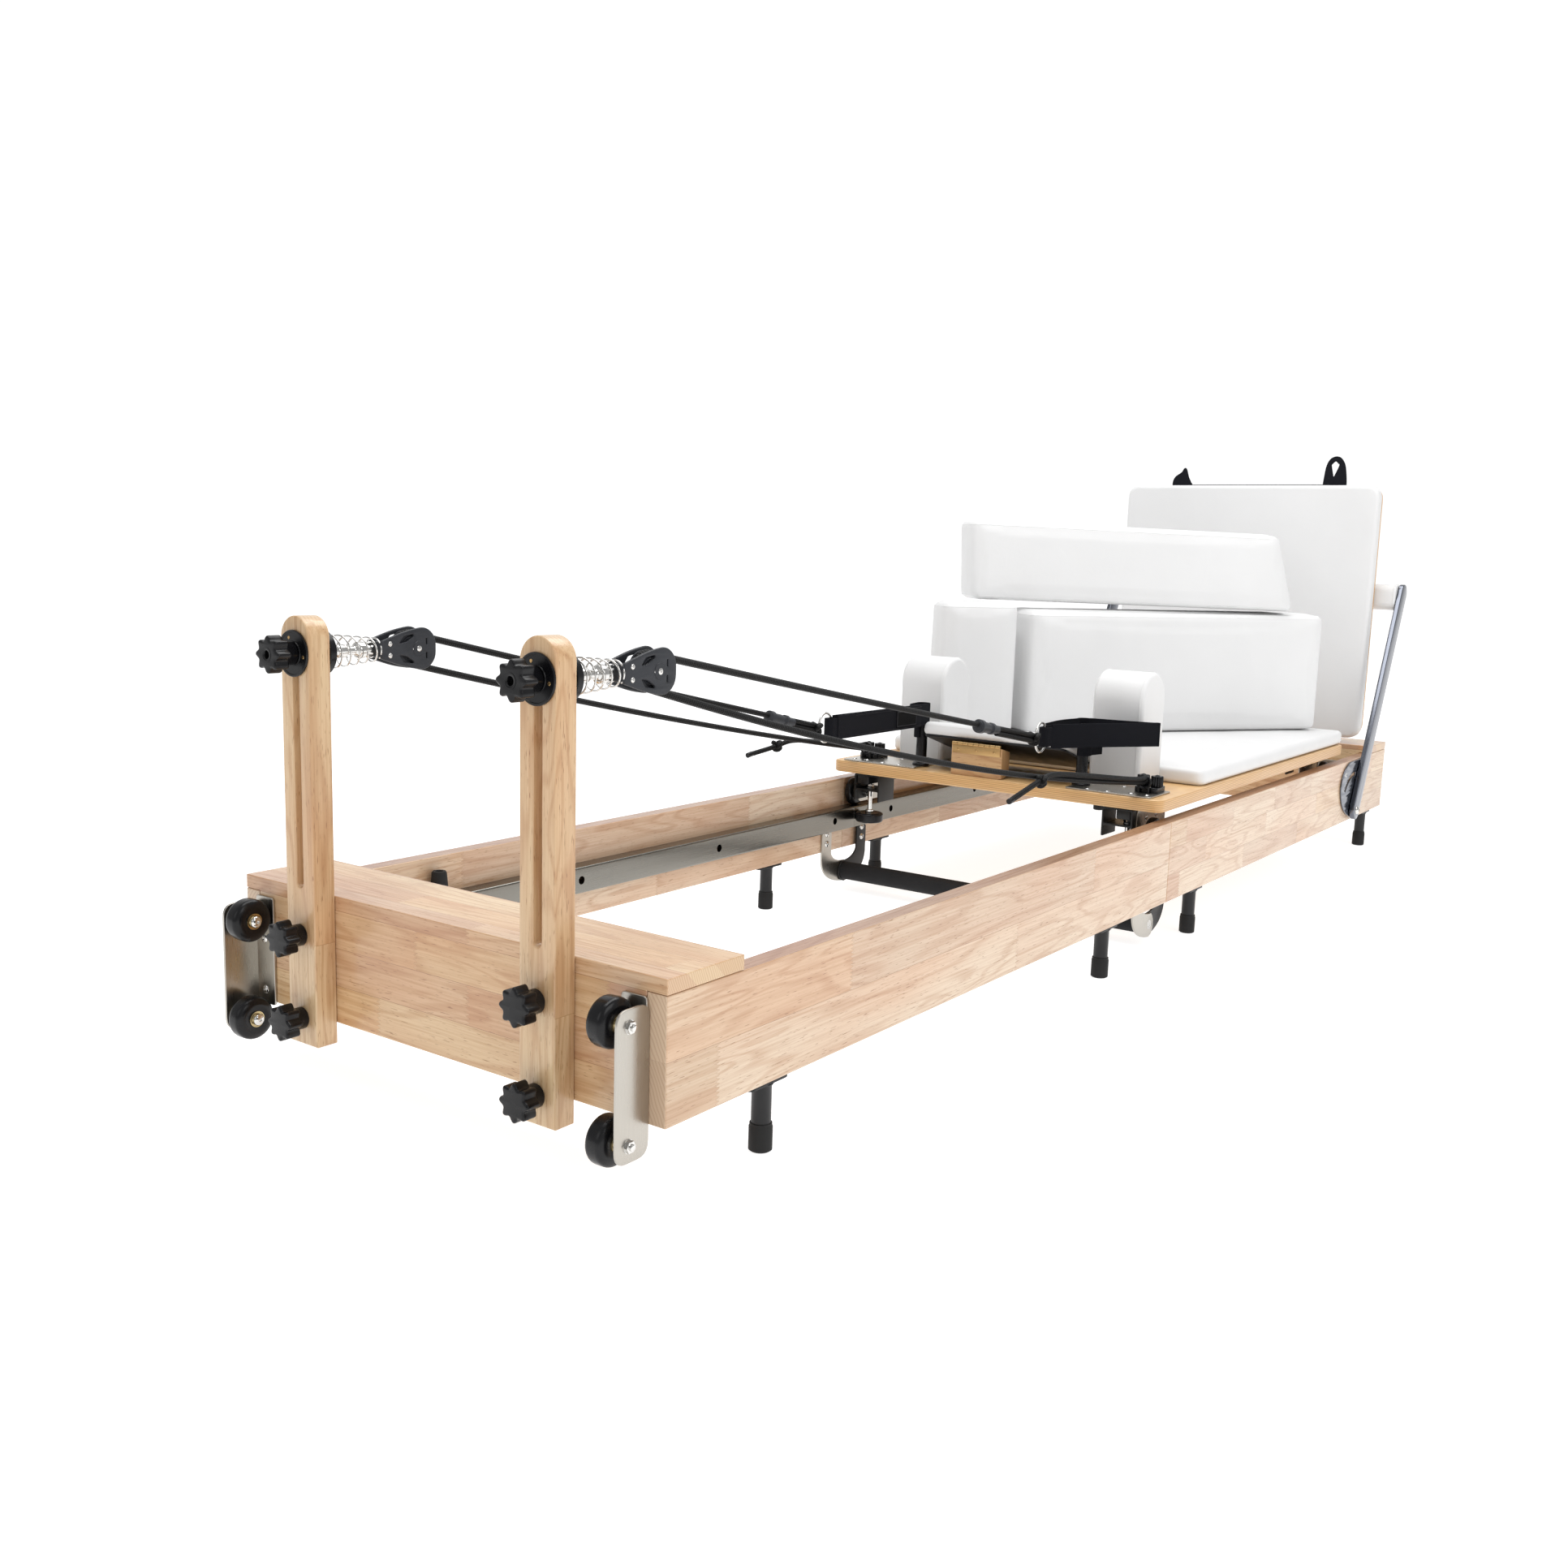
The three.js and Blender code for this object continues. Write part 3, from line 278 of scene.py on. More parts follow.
def plastic(name, colour, low, high, grain=900.0, depth=0.00003):
    """Moulded plastic, rubber or paint with a fine texture and slightly uneven gloss."""
    s = Shader(name)
    texture = s.noise(s.place(), grain, 2.0)
    wear = s.noise(s.place(), 30.0, 4.0, 0.6)
    lighter = tuple(min(1.0, 1.5 * value + 0.004) for value in colour)
    tint = s.ramp(wear, (0.35, rgb(*colour)), (0.8, rgb(*lighter)))
    return s.finish(Base_Color=tint, Roughness=s.ramp(wear, (0.3, low), (0.7, high)),
                    Normal=s.bump(texture, depth), Specular_IOR_Level=0.3)


def braided_rope():
    """Black polyester braid. The strands' relief is in the mesh, and its colour is painted darker in the
    grooves between strands and lighter on their crests: painted shade.
    """
    s = Shader("black_rope")
    uv = s.axes(s.place("UV"))
    turn = s.math("MULTIPLY", uv["y"], BRAID_STRANDS)
    run = s.math("MULTIPLY", uv["x"], 1 / BRAID_PITCH)
    left = s.math("SINE", s.math("MULTIPLY", s.math("ADD", run, turn), math.tau))
    right = s.math("SINE", s.math("MULTIPLY", s.math("SUBTRACT", run, turn), math.tau))
    weave = s.math("MULTIPLY", left, right)
    fibre = s.noise(s.place(), 2600.0, 2.0)
    # Painted shade: darker in the grooves between strands, lighter on the crests.
    colour = s.ramp(weave, (0.0, rgb(0.002, 0.002, 0.002)), (0.8, rgb(0.014, 0.014, 0.015)))
    return s.finish(Base_Color=colour, Roughness=s.ramp(fibre, (0.3, 0.42), (0.7, 0.62)),
                    Normal=s.bump(s.math("MULTIPLY_ADD", fibre, 0.4, weave), 0.0002), Specular_IOR_Level=0.2)


def webbing(name, colour, tint):
    """Woven polyester tape: ribs across it, and a softer twill along it."""
    s = Shader(name)
    uv = s.axes(s.place("UV"))
    slanted = s.math("ADD", uv["x"], s.math("MULTIPLY", uv["y"], 0.35))
    ribs = s.math("SINE", s.math("MULTIPLY", slanted, TAPE_RIBS))
    threads = s.math("SINE", s.math("MULTIPLY", uv["y"], TAPE_THREADS))
    weave = s.math("MULTIPLY", ribs, threads)
    fuzz = s.noise(s.place(), 1500.0, 3.0)
    # The weave term paints the gaps between threads darker and their crests lighter, as painted shade; the
    # fuzz term is random tone.
    shade = s.math("MULTIPLY_ADD", fuzz, 0.5, s.math("MULTIPLY_ADD", weave, 0.25, 0.25))
    return s.finish(Base_Color=s.ramp(shade, (0.2, rgb(*colour)), (0.8, rgb(*tint))), Roughness=0.82,
                    Normal=s.bump(s.math("MULTIPLY_ADD", fuzz, 0.5, weave), 0.00025), Specular_IOR_Level=0.15)


RAIL_TONES = (rgb(0.73, 0.56, 0.40), rgb(0.81, 0.65, 0.48), rgb(0.65, 0.47, 0.33), rgb(0.79, 0.62, 0.41),
              rgb(0.71, 0.52, 0.39))
BEAM_TONES = (rgb(0.71, 0.49, 0.28), rgb(0.80, 0.60, 0.36), rgb(0.61, 0.38, 0.24), rgb(0.77, 0.55, 0.31),
              rgb(0.67, 0.44, 0.30))
POST_TONES = (rgb(0.76, 0.56, 0.33), rgb(0.71, 0.51, 0.30), rgb(0.79, 0.61, 0.37))
DARK_TONES = (rgb(0.62, 0.39, 0.19), rgb(0.58, 0.36, 0.17))

RAIL = {"low": 0.076, "tall": 0.128, "top": 0.204}
RAIL_WOOD = {
    "head": wood("rubberwood_head_rails", "x", RAIL["tall"] / 2, 0.62, RAIL_TONES, RAIL["low"], 2.3),
    "foot": wood("rubberwood_foot_rails", "x", RAIL["tall"] / 3, 0.30, RAIL_TONES, RAIL["low"]),
}
BEAM_WOOD = wood("rubberwood_beams", "y", RAIL["tall"] / 3, 0.38, BEAM_TONES, RAIL["top"] + HEAD_X, 3.7)
POST_WOOD = wood("rubberwood_posts", "z", 0.09, 1.4, POST_TONES, 0.045, 1.9)
BLOCK_WOOD = wood("rubberwood_block", "y", 0.3, 0.9, DARK_TONES, 0.1, 5.2)
PLY = plywood()
LEATHER = leather()

BRUSHED = metal("brushed_steel", (0.50, 0.475, 0.43), 0.24, 0.36, (14.0, 14.0, 0.8), 0.000004)
# The tracks' steel is the brushed steel at half its brightness: painted shade for the channels inside the
# rails.
SHADED_TRACK_STEEL = metal("track_steel", (0.25, 0.24, 0.215), 0.20, 0.30, (0.5, 16.0, 24.0), 0.000004)
CHROME = metal("chrome", (0.72, 0.71, 0.69), 0.06, 0.16)
ARM_STEEL = metal("arm_steel", (0.17, 0.18, 0.21), 0.10, 0.20)
GOLD_ZINC = metal("yellow_zinc", (0.60, 0.49, 0.27), 0.20, 0.34)
BRASS = metal("brass", (0.55, 0.36, 0.16), 0.3, 0.45)

BLACK_STEEL = plastic("black_steel", (0.012, 0.012, 0.013), 0.32, 0.46, 1400.0)
GLOSS_BLACK = plastic("gloss_black", (0.003, 0.003, 0.004), 0.22, 0.34, 500.0, 0.00001)
WHEEL_BLACK = plastic("wheel_black", (0.005, 0.005, 0.006), 0.20, 0.32, 400.0, 0.00002)
PULLEY_GREY = plastic("pulley_grey", (0.024, 0.026, 0.031), 0.36, 0.50)
RUBBER = plastic("rubber", (0.012, 0.012, 0.012), 0.55, 0.72)
FOAM = plastic("foam", (0.012, 0.012, 0.013), 0.75, 0.9, 1800.0, 0.00012)
BRACKET_BLACK = plastic("bracket_black", (0.010, 0.010, 0.010), 0.26, 0.4, 1000.0)
ROPE = braided_rope()
WEBBING = webbing("black_webbing", (0.003, 0.003, 0.005), (0.013, 0.014, 0.019))
PATCH = webbing("label_patch", (0.002, 0.002, 0.002), (0.007, 0.007, 0.008))
THREAD = plastic("black_thread", (0.02, 0.02, 0.024), 0.5, 0.6)

# ---------------------------------------------------------------- mesh tools
AXES = {
    "x": Matrix(((0, 0, 1, 0), (1, 0, 0, 0), (0, 1, 0, 0), (0, 0, 0, 1))),
    "y": Matrix(((1, 0, 0, 0), (0, 0, -1, 0), (0, 1, 0, 0), (0, 0, 0, 1))),
    "z": Matrix.Identity(4),
}


def to_mesh(bm, recalc=True):
    """A new mesh from a bmesh, which is freed."""
    if recalc:
        bmesh.ops.recalc_face_normals(bm, faces=bm.faces)
    mesh = bpy.data.meshes.new("part")
    bm.to_mesh(mesh)
    bm.free()
    return mesh


def moved(mesh, x=0.0, y=0.0, z=0.0, turn=None):
    """A copy of a mesh, turned by a matrix about the origin and then moved."""
    copy = mesh.copy()
    copy.transform(Matrix.Translation((x, y, z)) @ (turn or Matrix.Identity(4)))
    return copy


def lathe(profile, axis="z", centre=(0, 0, 0), segments=48):
    """A turned solid. Its profile of (radius, distance along) starts and ends on the axis, or closes."""
    closed = profile[0] == profile[-1]
    points = profile[:-1] if closed else profile
    bm = bmesh.new()
    rings = []
    for radius, along in points:
        count = segments if radius > 1e-6 else 1
        rings.append([bm.verts.new((radius * math.cos(math.tau * i / count),
                                    radius * math.sin(math.tau * i / count), along)) for i in range(count)])
    pairs = list(zip(rings, rings[1:])) + ([(rings[-1], rings[0])] if closed else [])
    for low, high in pairs:
        for i in range(segments if max(len(low), len(high)) > 1 else 0):
            j = i + 1
            corners = [low[i % len(low)], low[j % len(low)], high[j % len(high)], high[i % len(high)]]
            bm.faces.new(list(dict.fromkeys(corners)))
    mesh = to_mesh(bm)
    turn = AXES[axis] if axis != "y" else Matrix(((0, 1, 0, 0), (0, 0, 1, 0), (1, 0, 0, 0), (0, 0, 0, 1)))
    mesh.transform(Matrix.Translation(centre) @ turn)
    return mesh


def rod(radius, axis, limits, centre=(0, 0, 0), edge=0.4, segments=32):
    """A round bar with softened ends."""
    low, high = limits
    return lathe([(0, low), (radius - edge, low), (radius, low + edge), (radius, high - edge),
                  (radius - edge, high), (0, high)], axis, centre, segments)


def fillet(points, radius, closed=True, steps=5):
    """An outline or profile with its corners rounded. radius is one number or one for each point."""
    count = len(points)
    radii = radius if hasattr(radius, "__len__") else [radius] * count
    rounded = []
    for i, point in enumerate(points):
        if radii[i] == 0 or (not closed and i in (0, count - 1)):
            rounded.append(tuple(point))
            continue
        here, before, after = Vector(point), Vector(points[i - 1]), Vector(points[(i + 1) % count])
        reach = min(radii[i], (before - here).length / 2, (after - here).length / 2)
        start = here + (before - here).normalized() * reach
        end = here + (after - here).normalized() * reach
        rounded += [tuple(start), *bezier(start, here, end, steps)]
    return rounded


def bezier(start, control, end, steps=14):
    """Points along a curve bent towards one control point, its start left out."""
    start, control, end = Vector(start), Vector(control), Vector(end)
    shares = [i / steps for i in range(1, steps + 1)]
    return [tuple(start * (1 - t) ** 2 + control * 2 * t * (1 - t) + end * t * t) for t in shares]


def arc(u, v, radius, start, end, steps=16):
    """Points on a circle, with the angles in degrees."""
    angles = [math.radians(start + (end - start) * i / steps) for i in range(steps + 1)]
    return [(u + radius * math.cos(a), v + radius * math.sin(a)) for a in angles]


def circle(u, v, radius, steps=24):
    return arc(u, v, radius, 0, 360 * (1 - 1 / steps), steps - 1)


def rectangle(u0, u1, v0, v1, radius, steps=5):
    return fillet([(u0, v0), (u1, v0), (u1, v1), (u0, v1)], radius, steps=steps)


def slab(outline, axis, limits, edge=1.0, holes=(), steps=3):
    """A plate cut to an outline, with holes and rounded edges. The outline's directions are (y, z) for "x",
    (x, z) for "y" and (x, y) for "z"."""
    curve = bpy.data.curves.new("outline", "CURVE")
    curve.dimensions = "2D"
    curve.fill_mode = "BOTH"
    for loop in (outline, *holes):
        spline = curve.splines.new("POLY")
        spline.points.add(len(loop) - 1)
        for point, (u, v) in zip(spline.points, loop):
            point.co = (u, v, 0, 1)
        spline.use_cyclic_u = True
    low, high = limits
    curve.extrude = (high - low) / 2 - edge
    curve.bevel_depth = edge
    curve.bevel_resolution = steps
    curve.offset = -edge
    holder = bpy.data.objects.new("outline", curve)
    bpy.context.scene.collection.objects.link(holder)
    mesh = bpy.data.meshes.new_from_object(holder.evaluated_get(bpy.context.evaluated_depsgraph_get()))
    bpy.data.objects.remove(holder)
    bpy.data.curves.remove(curve)
    mesh.materials.clear()
    bm = bmesh.new()
    bm.from_mesh(mesh)
    bmesh.ops.remove_doubles(bm, verts=bm.verts, dist=1e-4)
    middle = (low + high) / 2
    made = to_mesh(bm)
    made.transform(AXES[axis] @ Matrix.Translation((0, 0, -middle if axis == "y" else middle)))
    return made


def block(x, y, z, edge=1.0, segments=2):
    """A box given by its limits on each axis, with rounded edges."""
    bm = bmesh.new()
    bmesh.ops.create_cube(bm, size=1)
    for vert in bm.verts:
        vert.co = [limits[0] if c < 0 else limits[1] for c, limits in zip(vert.co, (x, y, z))]
    bmesh.ops.bevel(bm, geom=bm.edges[:], offset=edge, segments=segments, affect="EDGES", profile=0.5)
    return to_mesh(bm)


def smooth_path(points, steps=6):
    """A Catmull-Rom curve through the points."""
    path = [Vector(p) for p in points]
    padded = [path[0] * 2 - path[1], *path, path[-1] * 2 - path[-2]]
    out = []
    for a, b, c, d in zip(padded, padded[1:], padded[2:], padded[3:]):
        for k in range(steps):
            t = k / steps
            out.append(0.5 * (2 * b + (c - a) * t + (2 * a - 5 * b + 4 * c - d) * t * t
                              + (3 * b - a - 3 * c + d) * t ** 3))
    return out + [path[-1]]


def run_lengths(path):
    """How far along a polyline each of its points is."""
    lengths = [0.0]
    for a, b in zip(path, path[1:]):
        lengths.append(lengths[-1] + (b - a).length)
    return lengths


def tube(path, radius, sides=12, closed=False, relief=None):
    """A tube along points, with lengthwise and round coordinates in its UV map.

    The radius may be a function of the share of the length, and relief(along, turn) adds to it.
    """
    path = [Vector(p) for p in path]
    count = len(path)
    lengths = run_lengths(path)
    bm = bmesh.new()
    uv = bm.loops.layers.uv.new("UVMap")
    rings = []
    side = None
    for i, point in enumerate(path):
        before = path[i - 1] if i or closed else path[i]
        after = path[(i + 1) % count] if i < count - 1 or closed else path[i]
        ahead = (after - before).normalized()
        if side is None:
            side = ahead.orthogonal().normalized()
        side = (side - ahead * side.dot(ahead)).normalized()
        up = ahead.cross(side)
        ring = []
        for k in range(sides):
            turn = k / sides
            reach = radius(lengths[i] / lengths[-1]) if callable(radius) else radius
            reach += relief(lengths[i], turn) if relief else 0
            ring.append(bm.verts.new(point + (side * math.cos(math.tau * turn)
                                              + up * math.sin(math.tau * turn)) * reach))
        rings.append(ring)
    for i in range(count if closed else count - 1):
        for k in range(sides):
            j = (i + 1) % count
            m = (k + 1) % sides
            face = bm.faces.new((rings[i][k], rings[i][m], rings[j][m], rings[j][k]))
            marks = ((i, k), (i, k + 1), (i + 1, k + 1), (i + 1, k))
            for loop, (step, turn) in zip(face.loops, marks):
                loop[uv].uv = (lengths[min(step, count - 1)] * MM, turn / sides)
    if not closed:
        bm.faces.new(rings[0][::-1])
        bm.faces.new(rings[-1])
    return to_mesh(bm)


BRAID_HEIGHT = 0.28


def braid_relief(along, turn):
    """Height of the braid's crossing strands, in millimetres."""
    run, round_it = along * MM / BRAID_PITCH, turn * BRAID_STRANDS
    return BRAID_HEIGHT * math.sin(math.tau * (run + round_it)) * math.sin(math.tau * (run - round_it))


def dense(path, step):
    """Points along a polyline, at most a step apart."""
    out = [Vector(path[0])]
    for a, b in zip(path, path[1:]):
        parts = max(1, math.ceil((Vector(b) - Vector(a)).length / step))
        out += [Vector(a).lerp(Vector(b), k / parts) for k in range(1, parts + 1)]
    return out


def cable(path, step=1.3, sides=18):
    """A braided rope along a path."""
    return tube(dense(path, step), ROPE_RADIUS, sides, relief=braid_relief)


def raised(height):
    return Vector((0, 0, height))


def ribbon(path, low, high, thick, edge=0.5):
    """Webbing stood on edge along a route seen from above, with its length and height in its UV map."""
    path = [Vector(p) for p in path]
    lengths = run_lengths(path)
    half = thick / 2
    ring_marks = ((-half + edge, low), (half - edge, low), (half, low + edge), (half, high - edge),
                  (half - edge, high), (-half + edge, high), (-half, high - edge), (-half, low + edge))
    bm = bmesh.new()
    uv = bm.loops.layers.uv.new("UVMap")
    rings = []
    for i, point in enumerate(path):
        ahead = (path[min(i + 1, len(path) - 1)] - path[max(i - 1, 0)]).normalized()
        across = Vector((-ahead.y, ahead.x, 0)).normalized()
        rings.append([bm.verts.new(point + across * out + raised(height)) for out, height in ring_marks])
    for i in range(len(path) - 1):
        for k in range(8):
            j = (k + 1) % 8
            face = bm.faces.new((rings[i][k], rings[i][j], rings[i + 1][j], rings[i + 1][k]))
            for loop, (step, mark) in zip(face.loops, ((i, k), (i, j), (i + 1, j), (i + 1, k))):
                loop[uv].uv = (lengths[step] * MM, ring_marks[mark][1] * MM)
    bm.faces.new(rings[0])
    bm.faces.new(rings[-1])
    return to_mesh(bm)


def helix(start, end, turns, radius, ends=1.0, per_turn=20):
    """Points of a coil about the line between two places. radius is a function of the share of the length."""
    start, end = Vector(start), Vector(end)
    ahead = (end - start).normalized()
    side = ahead.orthogonal().normalized()
    up = ahead.cross(side)
    count = int(turns * per_turn)
    points = []
    for i in range(count + 1):
        angle = math.tau * i / per_turn
        share = min(max((i / per_turn - ends) / (turns - 2 * ends), 0.0), 1.0)
        reach = radius(share)
        out = side * math.cos(angle) + up * math.sin(angle)
        points.append(start.lerp(end, share) + out * reach)
    return points


def cut(mesh, *tools):
    """A mesh with other closed meshes taken out of it."""
    holder = bpy.data.objects.new("cut", mesh)
    scene = bpy.context.scene.collection
    scene.objects.link(holder)
    helpers = []
    for tool in tools:
        helper = bpy.data.objects.new("tool", tool)
        scene.objects.link(helper)
        helpers.append(helper)
        modifier = holder.modifiers.new("cut", "BOOLEAN")
        modifier.operation, modifier.solver, modifier.object = "DIFFERENCE", "EXACT", helper
    made = bpy.data.meshes.new_from_object(holder.evaluated_get(bpy.context.evaluated_depsgraph_get()))
    for thing in (holder, *helpers):
        bpy.data.objects.remove(thing)
    return made


# ---------------------------------------------------------------- pieces
def piece(name, parts, body, replaces=(), smooth=38):
    """One object out of (mesh, material) parts, riding on a body and standing for CAD nodes."""
    joined = bmesh.new()
    joined.loops.layers.uv.new("UVMap")
    looks = []
    for part, look in parts:
        if look not in looks:
            looks.append(look)
        start = len(joined.faces)
        joined.from_mesh(part)
        joined.faces.ensure_lookup_table()
        for face in joined.faces[start:]:
            face.material_index = looks.index(look)
    mesh = bpy.data.meshes.new(name)
    joined.transform(TO_FRAME)
    joined.to_mesh(mesh)
    joined.free()
    for look in looks:
        mesh.materials.append(look)
    mesh.shade_smooth()
    mesh.set_sharp_from_angle(angle=math.radians(smooth))
    made = bpy.data.objects.new(name, mesh)
    bpy.context.scene.collection.objects.link(made)
    if body:
        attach(made, body)
    if replaces:
        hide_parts(*replaces)
    return made


def dress(node, look, bevel):
    """A CAD node with its material, and with its edges softened by modifiers."""
    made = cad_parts[node]
    made.data.materials.clear()
    made.data.materials.append(look)
    for polygon in made.data.polygons:
        polygon.material_index = 0
    if "custom_normal" in made.data.attributes:
        made.data.attributes.remove(made.data.attributes["custom_normal"])
    weld = made.modifiers.new("weld", "WELD")
    weld.merge_threshold = 0.00002
    flatten = made.modifiers.new("flatten", "DECIMATE")
    flatten.decimate_type = "DISSOLVE"
    flatten.angle_limit = math.radians(0.5)
    soften = made.modifiers.new("soften", "BEVEL")
    soften.width = bevel * MM
    soften.segments = 3
    soften.limit_method = "ANGLE"
    soften.angle_limit = math.radians(40)
    soften.harden_normals = True
    made.data.shade_smooth()


def hexagon(across, axis, limits, centre):
    """A six-sided head or nut, given by its width across the flats."""
    outline = circle(*centre, across / 2 / math.cos(math.pi / 6), 6)
    return slab(outline, axis, limits, 0.5, (), 2)


def button(axis, radius, base, height, centre):
    """A domed screw head with a round socket. height is signed along the axis."""
    dome = [(radius * math.cos(math.radians(a)), base + height * math.sin(math.radians(a)))
            for a in range(0, 75, 12)]
    socket, floor = radius * 0.3, base + height * 0.45
    return lathe([(0, base), (radius, base), *dome[1:], (socket, base + height), (socket, floor), (0, floor)],
                 axis, centre, 28)


def nut(axis, across, base, height, centre, bolt):
    """A washer, a nut and the bolt's end. Lengths are signed along the axis."""
    x, y, z = centre
    where = {"x": (y, z), "y": (x, z), "z": (x, y)}[axis]
    flange = 0.2 * height
    limits = sorted((base + flange, base + height))
    return [
        (lathe([(0, base), (across * 0.62, base), (across * 0.62, base + flange), (0, base + flange)],
               axis, centre, 32), CHROME),
        (hexagon(across, axis, limits, where), CHROME),
        (lathe([(0, base + height * 0.8), (bolt, base + height * 0.8), (bolt, base + height * 1.5),
                (bolt * 0.8, base + height * 1.6), (0, base + height * 1.6)], axis, centre, 20), CHROME),
    ]


# ---------------------------------------------------------------- wooden frame
EASED = 1.6
for half in ("head", "foot"):
    dress(f"{half}_end_board", BEAM_WOOD, EASED)
    for word, _ in SIDES:
        dress(f"{half}_rail_{word}", RAIL_WOOD[half], EASED)

POST_SLOT = {"half": 5.5, "low": 236, "high": 490}


def rope_post(word):
    """A wooden post with a round top and a long slot for the riser."""
    low, high = span(f"rope_post_{word}")
    half = (high.y - low.y) / 2
    y = low.y + half
    outline = [(y - half, low.z), (y + half, low.z), *arc(y, high.z - half, half, 0, 180, 28)]
    slot = [*arc(y, POST_SLOT["low"], POST_SLOT["half"], 180, 360, 12),
            *arc(y, POST_SLOT["high"], POST_SLOT["half"], 0, 180, 12)]
    made = slab(outline, "x", (low.x, high.x), 2.0, [slot])
    piece(f"post_wood_{word}", [(made, POST_WOOD)], "head_frame", [f"rope_post_{word}"])


# ---------------------------------------------------------------- steel tracks
TRACK = {"high": 38, "sheet": 2.0, "hole": 6}
TRACK_HOLES = {"head": (505, 818, 1145), "foot": (1330, 1650, 1970, 2250)}
STOPPER_X = 255


def track(half, word, side):
    """A pressed steel channel on the rail's inside, with its bolt holes and the head end's rubber stop."""
    low, high = span(f"{half}_track_{word}")
    top, sheet = low.z + TRACK["high"], TRACK["sheet"]
    near, far = sorted((abs(low.y), abs(high.y)))
    profile = [(far, low.z), (near, low.z), (near, top), (far, top), (far, top - sheet),
               (near + sheet, top - sheet), (near + sheet, low.z + sheet), (far, low.z + sheet)]
    rounded = fillet(profile, [0, 3, 3, 0, 0, 1.2, 1.2, 0])
    channel = slab([(side * y, z) for y, z in rounded], "x", (low.x, high.x), 0.25)
    middle = (low.z + top) / 2
    drills = [rod(TRACK["hole"], "y", sided(side, near - 3, near + 6), (x, 0, middle), 0.1)
              for x in TRACK_HOLES[half]]
    parts = [(cut(channel, *drills), SHADED_TRACK_STEEL)]
    if half == "head":
        bumper = [(0, top - 1), (13, top - 1), (13, top + 2), (12, top + 4), (9.6, top + 31), (8.4, top + 33),
                  (5.2, top + 33), (4.6, top + 31.5), (4.6, top + 10), (0, top + 10)]
        parts.append((lathe(bumper, "z", (STOPPER_X, side * (near + 12), 0), 40), RUBBER))
    piece(f"{half}_channel_{word}", parts, f"{half}_frame", [f"{half}_track_{word}"])


# ---------------------------------------------------------------- legs
LEG_Y = 307


def leg(node, body, side):
    """A round steel leg with a rubber foot and a screwed plate at its top."""
    low, high = span(node)
    x, y = (low.x + high.x) / 2, side * LEG_Y
    top = high.z
    foot = [(0, 0), (10.5, 0), (12.5, 1.5), (12.5, 26), (11.8, 27.5), (11.8, 30), (10.6, 30.8), (0, 30.8)]
    pole = [(0, 29), (10.5, 29), (10.5, top - 6), (12.5, top - 3), (0, top - 3)]
    plate = slab(rectangle(x - 33, x + 33, y - 11.5, y + 11.5, 8), "z", (top - 3, top), 0.5)
    parts = [(lathe(foot, "z", (x, y, 0), 40), RUBBER), (lathe(pole, "z", (x, y, 0), 40), BLACK_STEEL),
             (plate, BLACK_STEEL)]
    for shift in (-23, 23):
        parts.append((button("z", 4.2, top - 3, -2.4, (x + shift, y, 0)), BLACK_STEEL))
    piece(f"{node}_turned", parts, body, [node])


# ---------------------------------------------------------------- folding hinge
FOLD = {"x": 1206, "z": 36}
YOKE = {"near": 38, "far": 68, "low": 62, "high": 112, "boss": 20, "bolts": (91, 109)}
FOOT_PLATE = (287.7, 290.7)
HEAD_PLATE = (291.4, 294.7)


def yoke_outline(toward):
    """One half's plate, from its bolted end down to the boss round the hinge's axle."""
    def at(offset, z):
        return (FOLD["x"] + toward * offset, z)

    boss, z = YOKE["boss"], FOLD["z"]
    points = [at(YOKE["near"] + 3, YOKE["high"]), at(YOKE["far"] - 3, YOKE["high"]),
              at(YOKE["far"], YOKE["high"] - 3), at(YOKE["far"], YOKE["low"])]
    points += bezier(points[-1], at(YOKE["far"] - 4, z - 14), at(0, z - boss))
    points += bezier(at(-6, z - boss), at(-boss - 8, z), at(-6, z + boss - 2))
    points += bezier(points[-1], at(YOKE["near"] - 8, z + 18), at(YOKE["near"], YOKE["low"] + 10))
    return points + [at(YOKE["near"], YOKE["high"] - 3)]


def yoke(body, toward, plate, spacer, look, extra):
    """One half of the folding hinge: a bolted plate on each side, with the pieces between them."""
    parts = list(extra)
    for _, side in SIDES:
        parts.append((slab(yoke_outline(toward), "y", sided(side, *plate), 0.8), look))
        x = FOLD["x"] + toward * (YOKE["near"] + YOKE["far"]) / 2
        for z in YOKE["bolts"]:
            parts.append((button("y", 6, side * plate[0], -side * 3, (x, 0, z)), CHROME))
            if spacer > plate[1]:
                parts.append((rod(6, "y", sided(side, plate[1], spacer), (x, 0, z)), CHROME))
    node = f"{body.split('_')[0]}_fold_yoke"
    piece(f"{node}_plates", parts, body, [node])


def fold_hinge():
    reach = FOOT_PLATE[0] + 1
    sleeve = fillet([(9, -reach), (16, -reach), (16, reach), (9, reach)], 2.5) + [(9, -reach)]
    foam = lathe(sleeve, "y", (FOLD["x"], 0, FOLD["z"]), 40)
    shaft = rod(8, "y", (-HEAD_PLATE[1], HEAD_PLATE[1]), (FOLD["x"], 0, FOLD["z"]))
    ends = [(hexagon(13, "y", sided(side, 283, 287), (FOLD["x"], FOLD["z"])), CHROME) for _, side in SIDES]
    yoke("foot_frame", 1, FOOT_PLATE, HEAD_PLATE[1], BLACK_STEEL, [(foam, FOAM)])
    yoke("head_frame", -1, HEAD_PLATE, HEAD_PLATE[1], BRUSHED, [(shaft, CHROME), *ends])


# ---------------------------------------------------------------- knobs
def star(radius, depth, lobes=8, steps=12):
    """A lobed outline about the origin."""
    count = lobes * steps
    turns = [math.tau * i / count for i in range(count)]
    reach = [radius - depth / 2 + depth / 2 * math.cos(lobes * t) for t in turns]
    return [(r * math.cos(t), r * math.sin(t)) for r, t in zip(reach, turns)]


